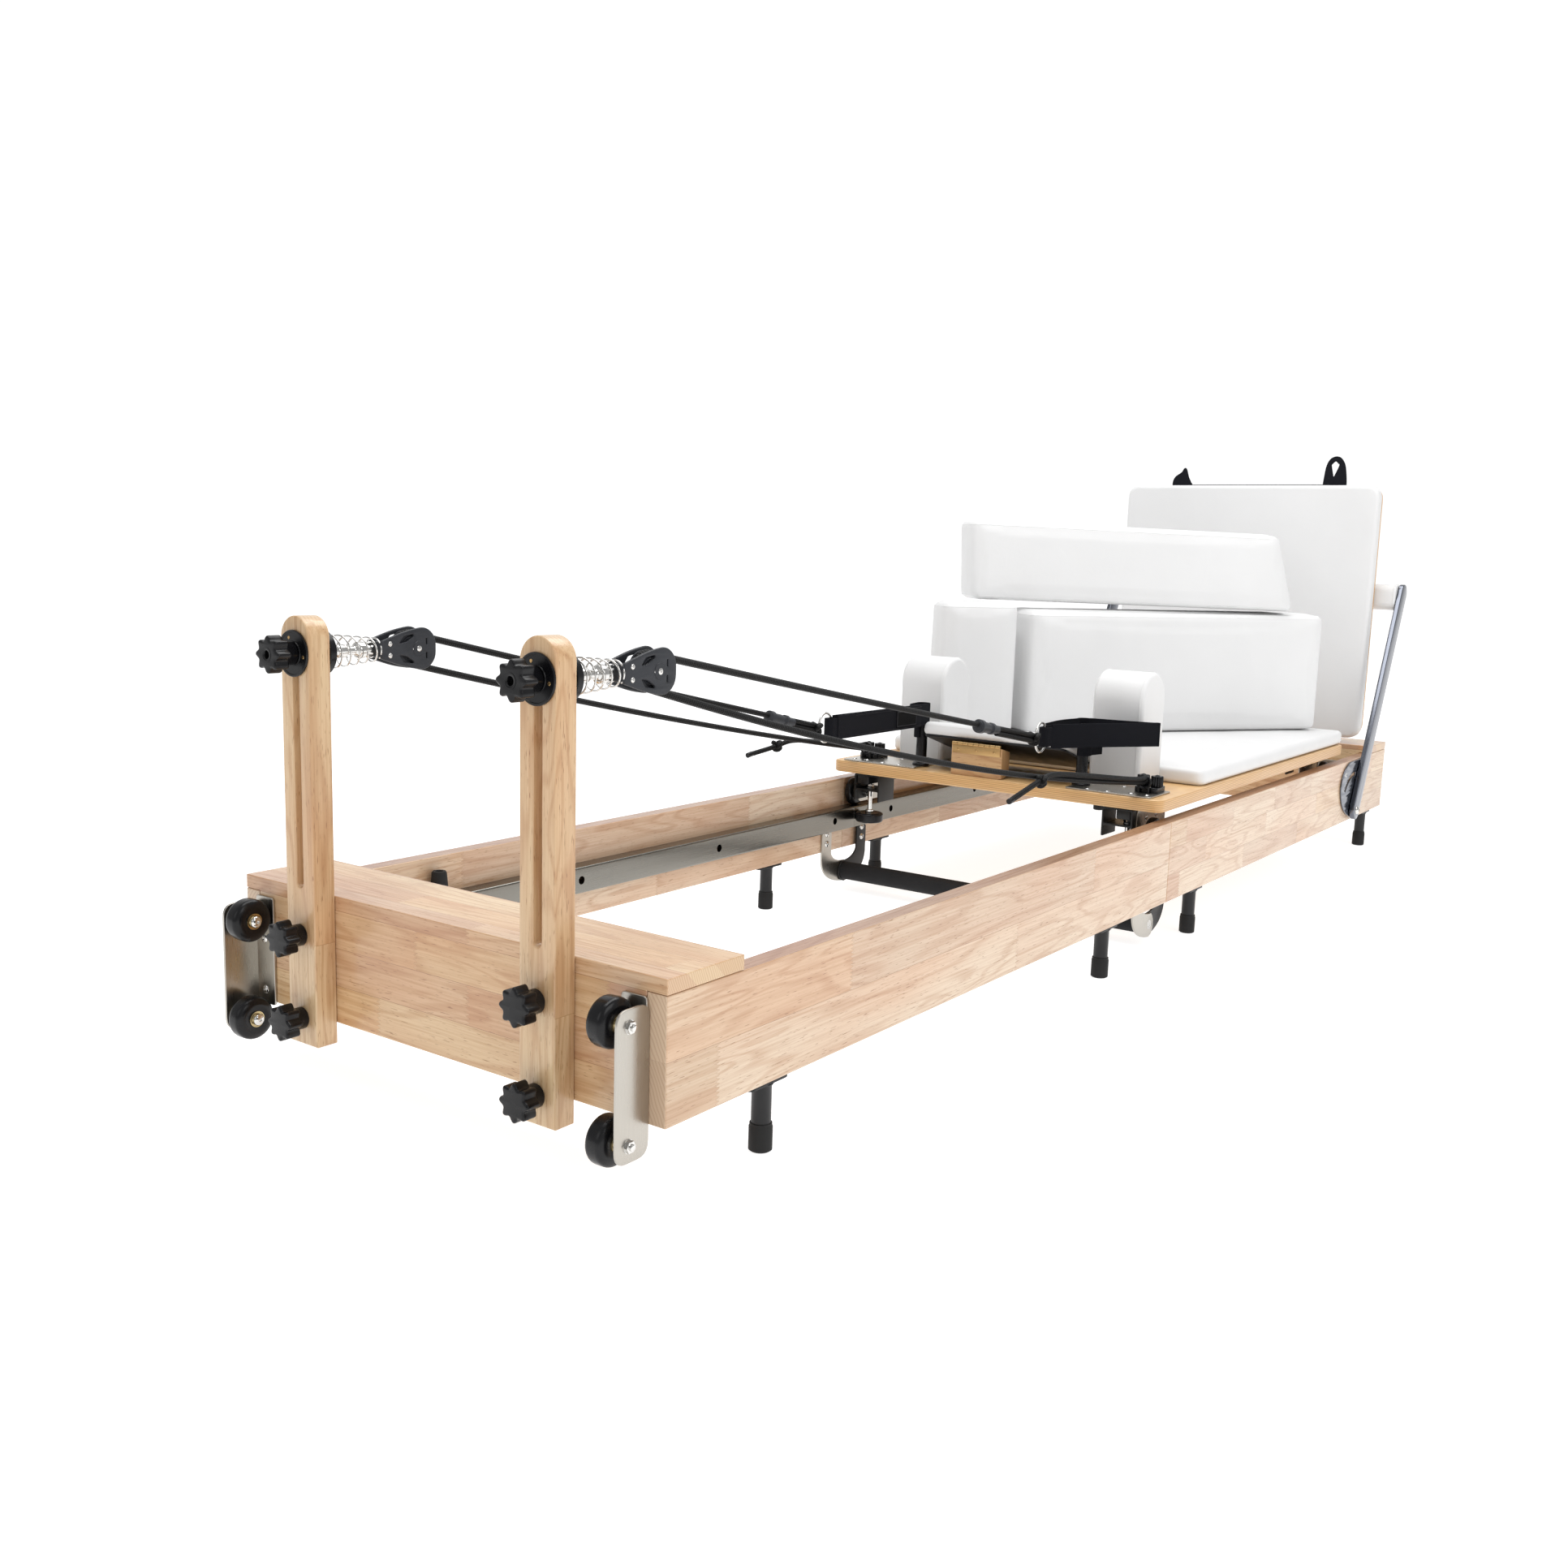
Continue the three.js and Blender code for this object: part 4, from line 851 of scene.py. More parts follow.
def knob(name, node, bore, stud):
    """A lobed hand knob on its own joint, with a bore right through it or a stud in its back."""
    low, high = span(node)
    radius = (high.y - low.y) / 2
    y, z = low.y + radius, (low.z + high.z) / 2
    back = low.x + 31
    holes = [circle(0, 0, bore, 24)] if bore else []
    head = slab(star(radius, 4.6), "x", (low.x, low.x + 18), 2.6, holes, 4)
    hub = [(bore, low.x + 16), (13.4, low.x + 16), (12.2, low.x + 20), (12.2, back - 1), (11.4, back),
           (bore, back)]
    if bore:
        hub.append(hub[0])
    parts = [(moved(head, 0, y, z), GLOSS_BLACK), (lathe(hub, "x", (0, y, z)), GLOSS_BLACK)]
    if bore:
        rim = [(bore, low.x + 0.2), (bore + 2.4, low.x + 0.2), (bore + 3, low.x - 0.3),
               (bore + 1, low.x - 0.4), (bore, low.x + 0.2)]
        parts.append((lathe(rim, "x", (0, y, z)), GLOSS_BLACK))
    else:
        dome = [(0, low.x - 0.1), (9, low.x + 0.1), (9.6, low.x + 0.6), (0, low.x + 1)]
        parts.append((lathe(dome, "x", (0, y, z)), GLOSS_BLACK))
        parts.append((rod(4, "x", (back - 1, stud), (0, y, z), 0.6), CHROME))
    piece(name, parts, node, [node])


# ---------------------------------------------------------------- castors
CASTOR = {"x": -28.5, "y": 276, "z": (64, 178)}


def castor_bracket(word, side):
    """A bent plate on the end board, with the two castors' axles and nuts."""
    front = -0.3
    flange = slab(rectangle(*sided(side, 266, 298), 73, 200, 5), "x", (front - 3, front), 0.8)
    plate = slab(rectangle(-46, front, CASTOR["z"][0] - 17, CASTOR["z"][1] + 17, 15), "y",
                 sided(side, 297, 300), 0.8)
    parts = [(flange, BRUSHED), (plate, BRUSHED)]
    for z in (90, 150):
        parts.append((button("x", 5.2, -3.2, -1.9, (0, side * 283.5, z)), CHROME))
    for z in CASTOR["z"]:
        centre = (CASTOR["x"], 0, z)
        parts.append((button("y", 6.6, side * 261.6, -side * 3.4, centre), CHROME))
        parts.append((rod(4, "y", sided(side, 261, 297), centre), CHROME))
        parts.append((rod(7, "y", sided(side, 288.6, 297), centre), CHROME))
        parts += nut("y", 11, side * 299.9, side * 4.2, centre, 3.4)
    piece(f"castor_steel_{word}", parts, "head_frame", [f"castor_bracket_{word}"])


def castor_wheel(word, row):
    """A rubber castor with a steel bearing in each face."""
    node = f"castor_wheel_{row}_{word}"
    low, high = span(node)
    radius = (high.z - low.z) / 2
    tyre = fillet([(9, low.y + 1.2), (radius - 8, low.y), (radius, low.y + 3.4), (radius, high.y - 3.4),
                   (radius - 8, high.y), (9, high.y - 1.2)], [0, 3, 5, 5, 3, 0])
    centre = (CASTOR["x"], 0, CASTOR["z"][row - 1])
    parts = [(lathe(tyre + tyre[:1], "y", centre, 56), WHEEL_BLACK)]
    for face, turn in ((low.y, 1), (high.y, -1)):
        race = [(4.3, face + turn * 0.8), (6.0, face + turn * 0.3), (6.6, face + turn * 1.1),
                (7.8, face + turn * 1.1), (8.1, face + turn * 0.2), (9.1, face + turn * 0.2),
                (9.3, face + turn * 3), (4.3, face + turn * 3), (4.3, face + turn * 0.8)]
        parts.append((lathe(race, "y", centre), GOLD_ZINC))
    piece(f"castor_tyre_{row}_{word}", parts, node, [node])


# ---------------------------------------------------------------- spring pulleys
PULLEY = {"x": 123, "z": 485, "y": 181, "wrap": 17.5, "half": 13.4, "pins": 17.5}
ROPE_RADIUS = 3.9
COIL = {"start": 9, "end": 76, "wide": 19.2, "narrow": 13.0, "turns": 6.5, "wire": 0.95}


def disc(front, back, toward, centre):
    """A moulded disc with a raised rim, a groove and a boss, seen from the side toward points to."""
    face = front if toward < 0 else back
    base = back if toward < 0 else front
    inward = -toward
    profile = [(4.4, base), (24, base), (25, base + toward * 0.8), (25, face + inward * 0.6), (24.4, face),
               (22.6, face), (22, face + inward * 0.9), (13.5, face + inward * 0.9), (13, face),
               (4.4, face), (4.4, base)]
    parts = [(lathe(profile, "x", centre, 56), GLOSS_BLACK)]
    for angle in (math.radians(turn) for turn in (70, 190, 310)):
        y = centre[1] + PULLEY["pins"] * math.cos(angle)
        z = centre[2] + PULLEY["pins"] * math.sin(angle)
        parts.append((rod(1.9, "x", sorted((face + inward * 1.4, face + inward * 0.6)), (0, y, z), 0.3, 16),
                      BRASS))
    return parts


CHEEK = fillet([(76, -10), (112, -21), (140, -25), (154, -13), (154, 13), (140, 25), (112, 21), (76, 10)],
               [3, 14, 12, 10, 10, 12, 14, 3])
WINDOW = [(101, 6.5), (107, 14.5), (121, 16.5), (122, 14.5), (111, 8)]


def pulley_block(word, side):
    """The riser in its post: two discs and a bolt, a coil spring, a swivel, and the block's two cheeks."""
    y, z = side * PULLEY["y"], PULLEY["z"]
    parts = disc(-31.3, -28.3, -1, (0, y, z)) + disc(0.2, 8, 1, (0, y, z))
    parts.append((rod(4.2, "x", (-54, 30), (0, y, z), 0.8), CHROME))
    coil = helix((COIL["start"], y, z), (COIL["end"], y, z), COIL["turns"],
                 lambda share: COIL["wide"] + share * (COIL["narrow"] - COIL["wide"]), 0.6, 28)
    parts.append((tube(coil, COIL["wire"], 10), CHROME))
    swivel = [(0, 8), (9, 8), (9, 11), (5, 13), (5, 22), (7.5, 25), (7.5, 36), (5, 38), (5, 48), (9.5, 52),
              (9.5, 60), (6, 63), (6, 76), (0, 76)]
    parts.append((lathe(fillet(swivel, 1.2, False, 3), "x", (0, y, z), 36), CHROME))
    hoop = [(u, v, 0) for u, v in circle(0, 0, 7.5, 28)]
    parts.append((moved(tube(hoop, 2, 10, True), 70, y, z, AXES["y"]), CHROME))
    neck = block((74, 97), (y - PULLEY["half"], y + PULLEY["half"]), (z - 9, z + 9), 3.5, 3)
    parts.append((neck, PULLEY_GREY))
    parts += pulley_cheek(y, z, 1) + pulley_cheek(y, z, -1)
    parts.append((rod(3, "y", (y - 14, y + 14), (PULLEY["x"], 0, z)), CHROME))
    piece(f"pulley_{word}", parts, f"riser_{word}", [f"pulley_block_{word}"])


def pulley_cheek(y, z, turn):
    """One cheek of the block, with its windows, slots, screws and boss. turn is the side it faces."""
    windows = [[(x, sign * v) for x, v in fillet(WINDOW, 2.0)] for sign in (-1, 1)]
    slots = [rectangle(139.5, 141, sign * 8 - 3.5, sign * 8 + 3.5, 0.7) for sign in (-1, 1)]
    cheek = slab(CHEEK, "y", sided(turn, 9.5, 13.5), 1.4, windows + slots)
    parts = [(moved(cheek, 0, y, z), PULLEY_GREY)]
    outer, hub = turn * PULLEY["half"], PULLEY["x"] + 6
    for x, height, radius in ((hub, 0, 4.2), (88, 6.5, 2.9), (88, -6.5, 2.9)):
        parts.append((button("y", radius, outer + y, turn * 1.2, (x, 0, z + height)), CHROME))
    boss = [(3.4, outer), (9, outer), (8.4, outer + turn * 0.8), (3.4, outer + turn * 0.8), (3.4, outer)]
    parts.append((lathe(boss, "y", (hub, y, z), 32), PULLEY_GREY))
    return parts


def sheave(word, side):
    """The grooved wheel that the rope turns round."""
    y, z = side * PULLEY["y"], PULLEY["z"]
    groove = [(PULLEY["wrap"] - 4.5 * math.sin(math.radians(a)), -4.5 * math.cos(math.radians(a)))
              for a in range(0, 181, 15)]
    profile = [(3.3, -7.5), (13, -7.5), (13.6, -6.9), (15, -6.9), (15.6, -7.5), (19.6, -7.5), (20, -7.1),
               (20, -5.4), *groove, (20, 5.4), (20, 7.1), (19.6, 7.5), (15.6, 7.5), (15, 6.9), (13.6, 6.9),
               (13, 7.5), (3.3, 7.5), (3.3, -7.5)]
    made = lathe(profile, "y", (PULLEY["x"], y, z), 56)
    race = [(3.2, -7.9), (6, -7.9), (6, 7.9), (3.2, 7.9), (3.2, -7.9)]
    parts = [(made, PULLEY_GREY), (lathe(race, "y", (PULLEY["x"], y, z), 28), CHROME)]
    for x, height in circle(PULLEY["x"], z, 10, 8):
        parts.append((rod(1.6, "y", (y - 7.8, y + 7.8), (x, 0, height), 0.3, 12), CHROME))
    piece(f"sheave_wheel_{word}", parts, f"sheave_{word}", [f"pulley_sheave_{word}"])


# ---------------------------------------------------------------- ropes and hand straps
RING = {"left": (940, 146, 336), "right": (1105, 146, 335)}
RING_LOOP = 38
CLEAT = {"x": 1252, "y": 262, "rope": 258}
LOWER_SAG = {"left": 9, "right": 24}
TAIL = {"left": ((954, 262, 289), (880, 262, 281)), "right": ((892, 246, 296), (806, 244, 278))}
PEG = {"x": 1232, "y": 152, "radius": 9.5, "top": 334}
STRAP = {"low": 312, "high": 350, "thick": 2.4}
DECK_TOP = 238.5


def sagging(start, end, sag, steps=40):
    """A shallow hanging curve between two places."""
    start, end = Vector(start), Vector(end)
    return [start.lerp(end, i / steps) - Vector((0, 0, 4 * sag * (i / steps) * (1 - i / steps)))
            for i in range(steps + 1)]


def declare_rope(path):
    """Turns a path in the layout's millimetres into the frame's metres, and keeps nothing of it."""
    path = [TO_FRAME @ Vector(point) for point in path]


def draw_up(made):
    """Gives a piece a mesh of its own."""
    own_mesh(made)


def strand(name, path, body):
    """One run of rope between a pulley and the carriage."""
    made = piece(name, [(cable(path), ROPE)], body, ())
    declare_rope(path)
    draw_up(made)


def knot(centre, along, size):
    """An overhand knot: a tight trefoil of rope."""
    turn = Vector(along).to_track_quat("X", "Z").to_matrix()
    points = []
    for i in range(64):
        t = math.tau * i / 64
        around = Vector((size * 0.45 * math.sin(3 * t), size * 0.5 * (math.sin(t) + 2 * math.sin(2 * t)) / 2,
                         size * 0.5 * (math.cos(t) - 2 * math.cos(2 * t)) / 2))
        points.append(Vector(centre) + turn @ around)
    return tube(points, ROPE_RADIUS * 0.96, 16, True, relief=braid_relief)


def ropes(word, side):
    """One side's rope: a turn round the pulley, the upper strand to the strap, the lower to the cleat."""
    y, z = side * PULLEY["y"], PULLEY["z"]
    top, bottom = z + PULLEY["wrap"], z - PULLEY["wrap"]
    ring_x, ring_y, ring_z = RING[word]
    ring = Vector((ring_x - RING_LOOP, side * ring_y, ring_z))
    cleat = Vector((CLEAT["x"] - 27, side * CLEAT["y"], CLEAT["rope"]))
    past = PULLEY["x"] + 1.5
    turn = [(x, y, height) for x, height in arc(PULLEY["x"], z, PULLEY["wrap"], 90, 270, 40)]
    wrap = [(past, y, top), *turn, (past, y, bottom)]
    body = f"rope_{word}"
    piece(f"rope_wrap_{word}", [(cable(wrap), ROPE)], body, [body])
    strand(f"rope_upper_{word}", sagging((PULLEY["x"], y, top), ring, 1.5), body)
    strand(f"rope_lower_{word}", sagging((PULLEY["x"], y, bottom), cleat, LOWER_SAG[word]), body)


def along_upper(word, side, x, lift=0.0):
    """A place on the upper strand, or above it."""
    ring_x, ring_y, ring_z = RING[word]
    share = (x - PULLEY["x"]) / (ring_x - RING_LOOP - PULLEY["x"])
    start = Vector((PULLEY["x"], side * PULLEY["y"], PULLEY["z"] + PULLEY["wrap"]))
    return start.lerp(Vector((ring_x - RING_LOOP, side * ring_y, ring_z)), share) + Vector((0, 0, lift))


ADJUST_AT = {"left": (777, 840), "right": (867, 934)}
LOCK_DROP = -3.0
SPARE_DROP = -8.2


def lock_girth(share):
    """Radius along the cord lock: a thicker first half, two collars and tapered ends."""
    collar = 0.05 < share < 0.2 or 0.62 < share < 0.74
    return 6.0 * (abs(2 * share - 1) < 0.97) + 2.2 * collar + 1.4 * (share < 0.5) + 0.4


def adjuster(word, side):
    """The doubled-back rope end: a collared cord lock on the strand, then two runs to a knot at the ring."""
    near, far = ADJUST_AT[word]
    ahead = (along_upper(word, side, far) - along_upper(word, side, near)).normalized()
    line = [along_upper(word, side, near + (far - near) * i / 40, LOCK_DROP) for i in range(41)]
    parts = [(tube(line, lock_girth, 28), PULLEY_GREY)]
    ring_end = RING[word][0] - RING_LOOP - 2
    run = [along_upper(word, side, far - 4 + (ring_end - far) * i / 20, SPARE_DROP) for i in range(21)]
    parts.append((cable(run), ROPE))
    parts.append((knot(along_upper(word, side, ring_end - 2, -4.0), ahead, 11.5), ROPE))
    made = piece(f"rope_adjuster_{word}", parts, f"rope_{word}", ())
    draw_up(made)


def tail(word, side):
    """The rope's free end beyond the cleat, lying back along the lower strand to its knot."""
    (knot_x, knot_y, knot_z), (end_x, end_y, end_z) = TAIL[word]
    start = Vector((CLEAT["x"] - 18, side * (CLEAT["y"] + 3), CLEAT["rope"] + 8.5))
    stop = Vector((knot_x, side * knot_y, knot_z))
    end = Vector((end_x, side * end_y, end_z))
    route = smooth_path([start, start + Vector((-60, -side, 3)), stop + Vector((60, 0, 3)), stop], 10)
    run = piece(f"rope_tail_{word}", [(cable(route), ROPE)], "carriage", ())
    beyond = smooth_path([stop, stop - Vector((20, 0, 3)), end], 8)
    parts = [(cable(beyond), ROPE), (knot(stop, (1, 0, 0.1), 9.5), ROPE),
             (tube([end + Vector((6, 0, 0.8)), end - Vector((5, 0, 1))], ROPE_RADIUS + 0.2, 20), GLOSS_BLACK)]
    tied = piece(f"rope_knot_{word}", parts, "carriage", ())
    declare_rope(route)


# A strap's centre line seen from above, as if on the left: out from the ring to a folded tip, round the peg
# between two angles, and back to the ring. "ends" is how far its two ends lie from the ring's middle.
STRAP_ROUTE = {
    "left": {
        "out": ((1090, 137), (1188, 136), (1196, 140), (1196, 146), (1188, 149), (1200, 158)),
        "turn": (110, -100), "back": ((1200, 141.5), (1090, 143)), "ends": (-8, 2),
    },
    "right": {
        "out": ((1180, 196), (1262, 257), (1270, 264), (1273, 259), (1266, 250), (1253, 196), (1246, 160)),
        "turn": (15, -120), "back": ((1180, 134),), "ends": (7, -7),
    },
}


def round_peg(gap, first, last, step=-15):
    """Places round the strap's peg, at a gap from it, between two angles in degrees."""
    reach = PEG["radius"] + gap
    angles = [math.radians(turn) for turn in range(first, last - 1, step)]
    return [(PEG["x"] + reach * math.cos(a), PEG["y"] + reach * math.sin(a)) for a in angles]


def on_side(side, points):
    """Places given on the left side as (x, y), on either side."""
    return [Vector((x, side * y, 0)) for x, y in points]


def hand_strap(word, side):
    """A webbing loop round its peg, with the rope's ring at one end and a plain label patch."""
    ring_x, ring_y, ring_z = RING[word]
    plan = STRAP_ROUTE[word]
    first, last = ((ring_x + 6, ring_y + shift) for shift in plan["ends"])
    line = [first, *plan["out"], *round_peg(1.6, *plan["turn"]), *plan["back"], last]
    route = smooth_path(on_side(side, line), 6)
    parts = [(ribbon(route, STRAP["low"], STRAP["high"], STRAP["thick"]), WEBBING)]
    for height in (STRAP["low"] + 3, STRAP["high"] - 3):
        parts.append((stitching([p + raised(height) for p in route[2:24]], 3.0, side * -1.6), THREAD))
    parts += label(word, side)
    flap = [*round_peg(3.6, 190, 50, -14), (PEG["x"] + 35, PEG["y"] + 17)]
    parts.append((ribbon(on_side(side, flap), STRAP["low"] - 22, STRAP["low"] + 12, STRAP["thick"]), WEBBING))
    fold = [(ring_x - 5 + x, ring_y + y) for x, y in arc(0, 0, 7.5, 100, 260, 10)]
    fold = on_side(side, [(ring_x + 44, ring_y + 5), *fold, (ring_x + 44, ring_y - 5)])
    parts.append((ribbon(fold, STRAP["low"] + 4, STRAP["high"] - 4, STRAP["thick"]), WEBBING))
    hoop = [(ring_x - 17 + 19 * u, side * ring_y, ring_z - 4 + 23 * v) for u, v in circle(0, 0, 1, 56)]
    parts.append((tube(hoop, 1.8, 14, True), CHROME))
    return parts


def stitching(path, spacing, offset):
    """Stitches along a route: short threads standing a little off it."""
    points = dense(path, spacing)
    made = bmesh.new()
    for a, b in zip(points[::2], points[1::2]):
        ahead = (b - a).normalized()
        across = Vector((-ahead.y, ahead.x, 0)) * offset
        stitch = tube([a + across, a.lerp(b, 0.5) + across * 1.15, b + across], 0.45, 6)
        made.from_mesh(stitch)
        bpy.data.meshes.remove(stitch)
    return to_mesh(made, False)


# Where a strap's label starts and ends, as if on the left, and how far it stands off the strap's centre line.
LABEL = {
    "left": {"ends": ((1118, 136.4), (1178, 136)), "out": 2.0},
    "right": {"ends": ((1188, 203), (1246, 246)), "out": 2.4},
}


def label(word, side):
    """A blank patch sewn on the strap, with a raised border."""
    a, b = on_side(side, LABEL[word]["ends"])
    ahead = (b - a).normalized()
    across = Vector((-ahead.y, ahead.x, 0))
    across *= 1 if across.x < 0 or across.y * side < 0 else -1
    route = [a.lerp(b, i / 12) + across * LABEL[word]["out"] for i in range(13)]
    parts = [(ribbon(route, STRAP["low"] + 5, STRAP["high"] - 5, 1.6), PATCH)]
    low, high = raised(STRAP["low"] + 7), raised(STRAP["high"] - 7)
    edge = [route[0] + low, route[-1] + low, route[-1] + high, route[0] + high, route[0] + low]
    face = [p + across * 0.9 for p in edge]
    parts.append((tube(dense(face, 2), 0.6, 8), THREAD))
    return parts


CAM_TEETH = 14


def cleat(side):
    """Two ridged cams on a base, with a fairlead eye and screws in front."""
    x, y = CLEAT["x"], side * CLEAT["y"]
    base_low = DECK_TOP + 2.6
    quarter_tooth = Matrix.Rotation(math.tau / CAM_TEETH / 4, 4, "Z")
    parts = [(slab(rectangle(x - 22, x + 22, y - 19, y + 19, 9), "z", (base_low, base_low + 9), 1.5),
              GLOSS_BLACK)]
    for offset in (-11.5, 11.5):
        cam = slab(star(9.7, 1.4, CAM_TEETH, 4), "z", (base_low + 9, base_low + 26), 0.9)
        parts.append((moved(cam, x, y + offset, turn=quarter_tooth), GLOSS_BLACK))
        parts.append((button("z", 4.2, base_low + 25.8, 2, (x, y + offset, 0)), BLACK_STEEL))
    eye = [(x - 26, y + 11 * u, CLEAT["rope"] + 1 + 10 * v) for u, v in circle(0, 0, 1, 36)]
    parts.append((tube(eye, 2.0, 12, True), GLOSS_BLACK))
    for offset in (-8, 8):
        parts.append((rod(1.9, "z", (base_low, CLEAT["rope"] - 6), (x - 26, y + offset, 0)), GLOSS_BLACK))
    for offset in (-13, 13):
        parts.append((button("z", 4.6, base_low, 2.0, (x - 44, y + offset, 0)), CHROME))
    return parts


def rope_plate(word, side):
    """The steel plate on the deck with its peg, cleat and hand strap."""
    low = DECK_TOP + 0.3
    plate = slab(rectangle(1192, 1276, *sided(side, 142, 288), 4), "z", (low, low + 2.5), 0.6)
    peg = [(0, low + 2), (15, low + 2), (15, low + 5), (13.5, low + 6.5), (PEG["radius"], low + 8),
           (PEG["radius"], STRAP["low"] - 2), (PEG["radius"] - 0.4, STRAP["low"]),
           (PEG["radius"] - 0.4, PEG["top"]), (PEG["radius"] - 2, PEG["top"] + 5), (5, PEG["top"] + 7.6),
           (0, PEG["top"] + 8)]
    parts = [(plate, BRUSHED), (lathe(peg, "z", (PEG["x"], side * PEG["y"], 0), 40), GLOSS_BLACK)]
    for x in (1200, 1268):
        for y in (178, 212):
            parts.append((button("z", 4.4, low + 2.4, 1.6, (x, side * y, 0)), CHROME))
    parts += cleat(side) + hand_strap(word, side)
    piece(f"rope_gear_{word}", parts, "carriage", [f"rope_plate_{word}"], 30)


# ---------------------------------------------------------------- padded pieces
SEAM = 0.9
CLOTH = {"voxel": 0.0065, "frames": 20, "pressure": 3.0, "cap": 2.6, "dent": 0.3}


def inflate(mesh):
    """A cover swollen by cloth simulation. The underside stays flat.

    Points move only square to the surface, hardly inwards and no further out than the cap.
    """
    scene = bpy.context.scene
    mesh.transform(Matrix.Scale(MM, 4))
    cover = bpy.data.objects.new("cover", mesh)
    scene.collection.objects.link(cover)
    remesh = cover.modifiers.new("remesh", "REMESH")
    remesh.mode = "VOXEL"
    remesh.voxel_size = CLOTH["voxel"]
    cover.data = bpy.data.meshes.new_from_object(cover.evaluated_get(bpy.context.evaluated_depsgraph_get()))
    cover.modifiers.clear()
    start = [(vert.co.copy(), vert.normal.copy()) for vert in cover.data.vertices]
    cloth = cover.modifiers.new("cloth", "CLOTH")
    cloth.settings.use_pressure = True
    cloth.settings.uniform_pressure_force = CLOTH["pressure"]
    cloth.settings.effector_weights.gravity = 0
    for number in range(1, CLOTH["frames"] + 1):
        scene.frame_set(number)
    swollen = bpy.data.meshes.new_from_object(cover.evaluated_get(bpy.context.evaluated_depsgraph_get()))
    scene.frame_set(1)
    bpy.data.objects.remove(cover)
    floor = min(place.z for place, normal in start)
    for vert, (place, normal) in zip(swollen.vertices, start):
        rise = (vert.co - place).dot(normal)
        vert.co = place + normal * min(max(rise, -CLOTH["dent"] * MM), CLOTH["cap"] * MM)
        vert.co.z = max(vert.co.z, floor)
    swollen.transform(Matrix.Scale(1 / MM, 4))
    return swollen


def sewn(mesh, points, sink):
    """Seam points drawn onto a cover's surface and sunk a little into it."""
    tree = BVHTree.FromPolygons([v.co for v in mesh.vertices], [p.vertices for p in mesh.polygons])
    drawn = []
    for point in points:
        place, normal = tree.find_nearest(Vector(point))[:2]
        drawn.append(place - normal * sink)
    return drawn


GRID = 22
RIPPLE = 0.5


def extent(bm, n):
    """A mesh's lowest and highest coordinate on one axis."""
    values = [vert.co[n] for vert in bm.verts]
    return min(values), max(values)


def grid(bm, n):
    """Cuts a mesh across one axis into strips about as wide as GRID."""
    low, high = extent(bm, n)
    count = max(2, int((high - low) / GRID))
    normal = Vector(tuple(float(k == n) for k in range(3)))
    for i in range(1, count):
        bmesh.ops.bisect_plane(bm, geom=bm.verts[:] + bm.edges[:] + bm.faces[:], dist=1e-4,
                               plane_co=normal * (low + (high - low) * i / count), plane_no=normal)


def soft_slab(outline, axis, limits, radius, crown):
    """A padded board: a thick slab with a large soft edge and slightly swelling faces."""
    mesh = slab(outline, axis, limits, radius, (), 6)
    bm = bmesh.new()
    bm.from_mesh(mesh)
    flat = {"x": 0, "y": 1, "z": 2}[axis]
    a, b = [n for n in range(3) if n != flat]
    grid(bm, a)
    grid(bm, b)
    spans = [extent(bm, n) for n in range(3)]
    middle = sum(spans[flat]) / 2
    for vert in bm.verts:
        shares = [(vert.co[n] - spans[n][0]) / (spans[n][1] - spans[n][0]) for n in (a, b)]
        swell = min(1.0, 9 * shares[0] * (1 - shares[0])) * min(1.0, 9 * shares[1] * (1 - shares[1]))
        lift = crown * swell + RIPPLE * noise.noise(vert.co * 0.02)
        vert.co[flat] += lift if vert.co[flat] > middle else 0
    return to_mesh(bm)


def seam_cord(path, closed=True):
    """The raised line of a sewn edge."""
    return tube(path, SEAM, 10, closed)


# ---------------------------------------------------------------- carriage
def deck():
    low, high = span("carriage_board")
    board = slab(rectangle(low.x, high.x, low.y, high.y, 20, 8), "z", (low.z, high.z), 2.4)
    piece("deck_board", [(board, PLY)], "carriage", ["carriage_board"])


def deck_pad():
    """The deck's mattress, with a seam round its upper edge."""
    low, high = span("carriage_pad")
    outline = rectangle(low.x, high.x, low.y, high.y, 20, 8)
    pad = soft_slab(outline, "z", (low.z, high.z - 1.6), 9, 1.6)
    inset = rectangle(low.x + 1.6, high.x - 1.6, low.y + 1.6, high.y - 1.6, 18, 8)
    line = [(u, v, high.z - 8) for u, v in inset]
    made = piece("pad_cover", [(pad, LEATHER), (seam_cord(line), LEATHER)], "carriage", ["carriage_pad"],
                 60)


def shoulder_rest(word):
    """An upright pad with a round top and a seam round each edge."""
    low, high = span(f"shoulder_rest_{word}")
    radius = (high.x - low.x) / 2
    outline = [(low.x, low.z), *reversed(arc(low.x + radius, high.z - radius, radius, 0, 180, 28)),
               (high.x, low.z)]
    outline = fillet(outline, [4, *[0] * 29, 4])
    body = soft_slab(outline, "y", (low.y, high.y - 1), 7, 1.0)
    parts = [(body, LEATHER)]
    for y in (low.y + 6.4, high.y - 6.4):
        over = reversed(arc(low.x + radius, high.z - radius, radius - 0.3, 0, 180, 36))
        line = [(low.x + 0.3, low.z + 6), *over, (high.x - 0.3, low.z + 6)]
        parts.append((seam_cord(dense([(x, y, z) for x, z in line], 6), False), LEATHER))
    made = piece(f"shoulder_pad_{word}", parts, "carriage", [f"shoulder_rest_{word}"], 60)


HEADREST = {"x": 1362, "z": 247, "length": 168, "thick": 28, "half": 136, "tilt": 17.5}


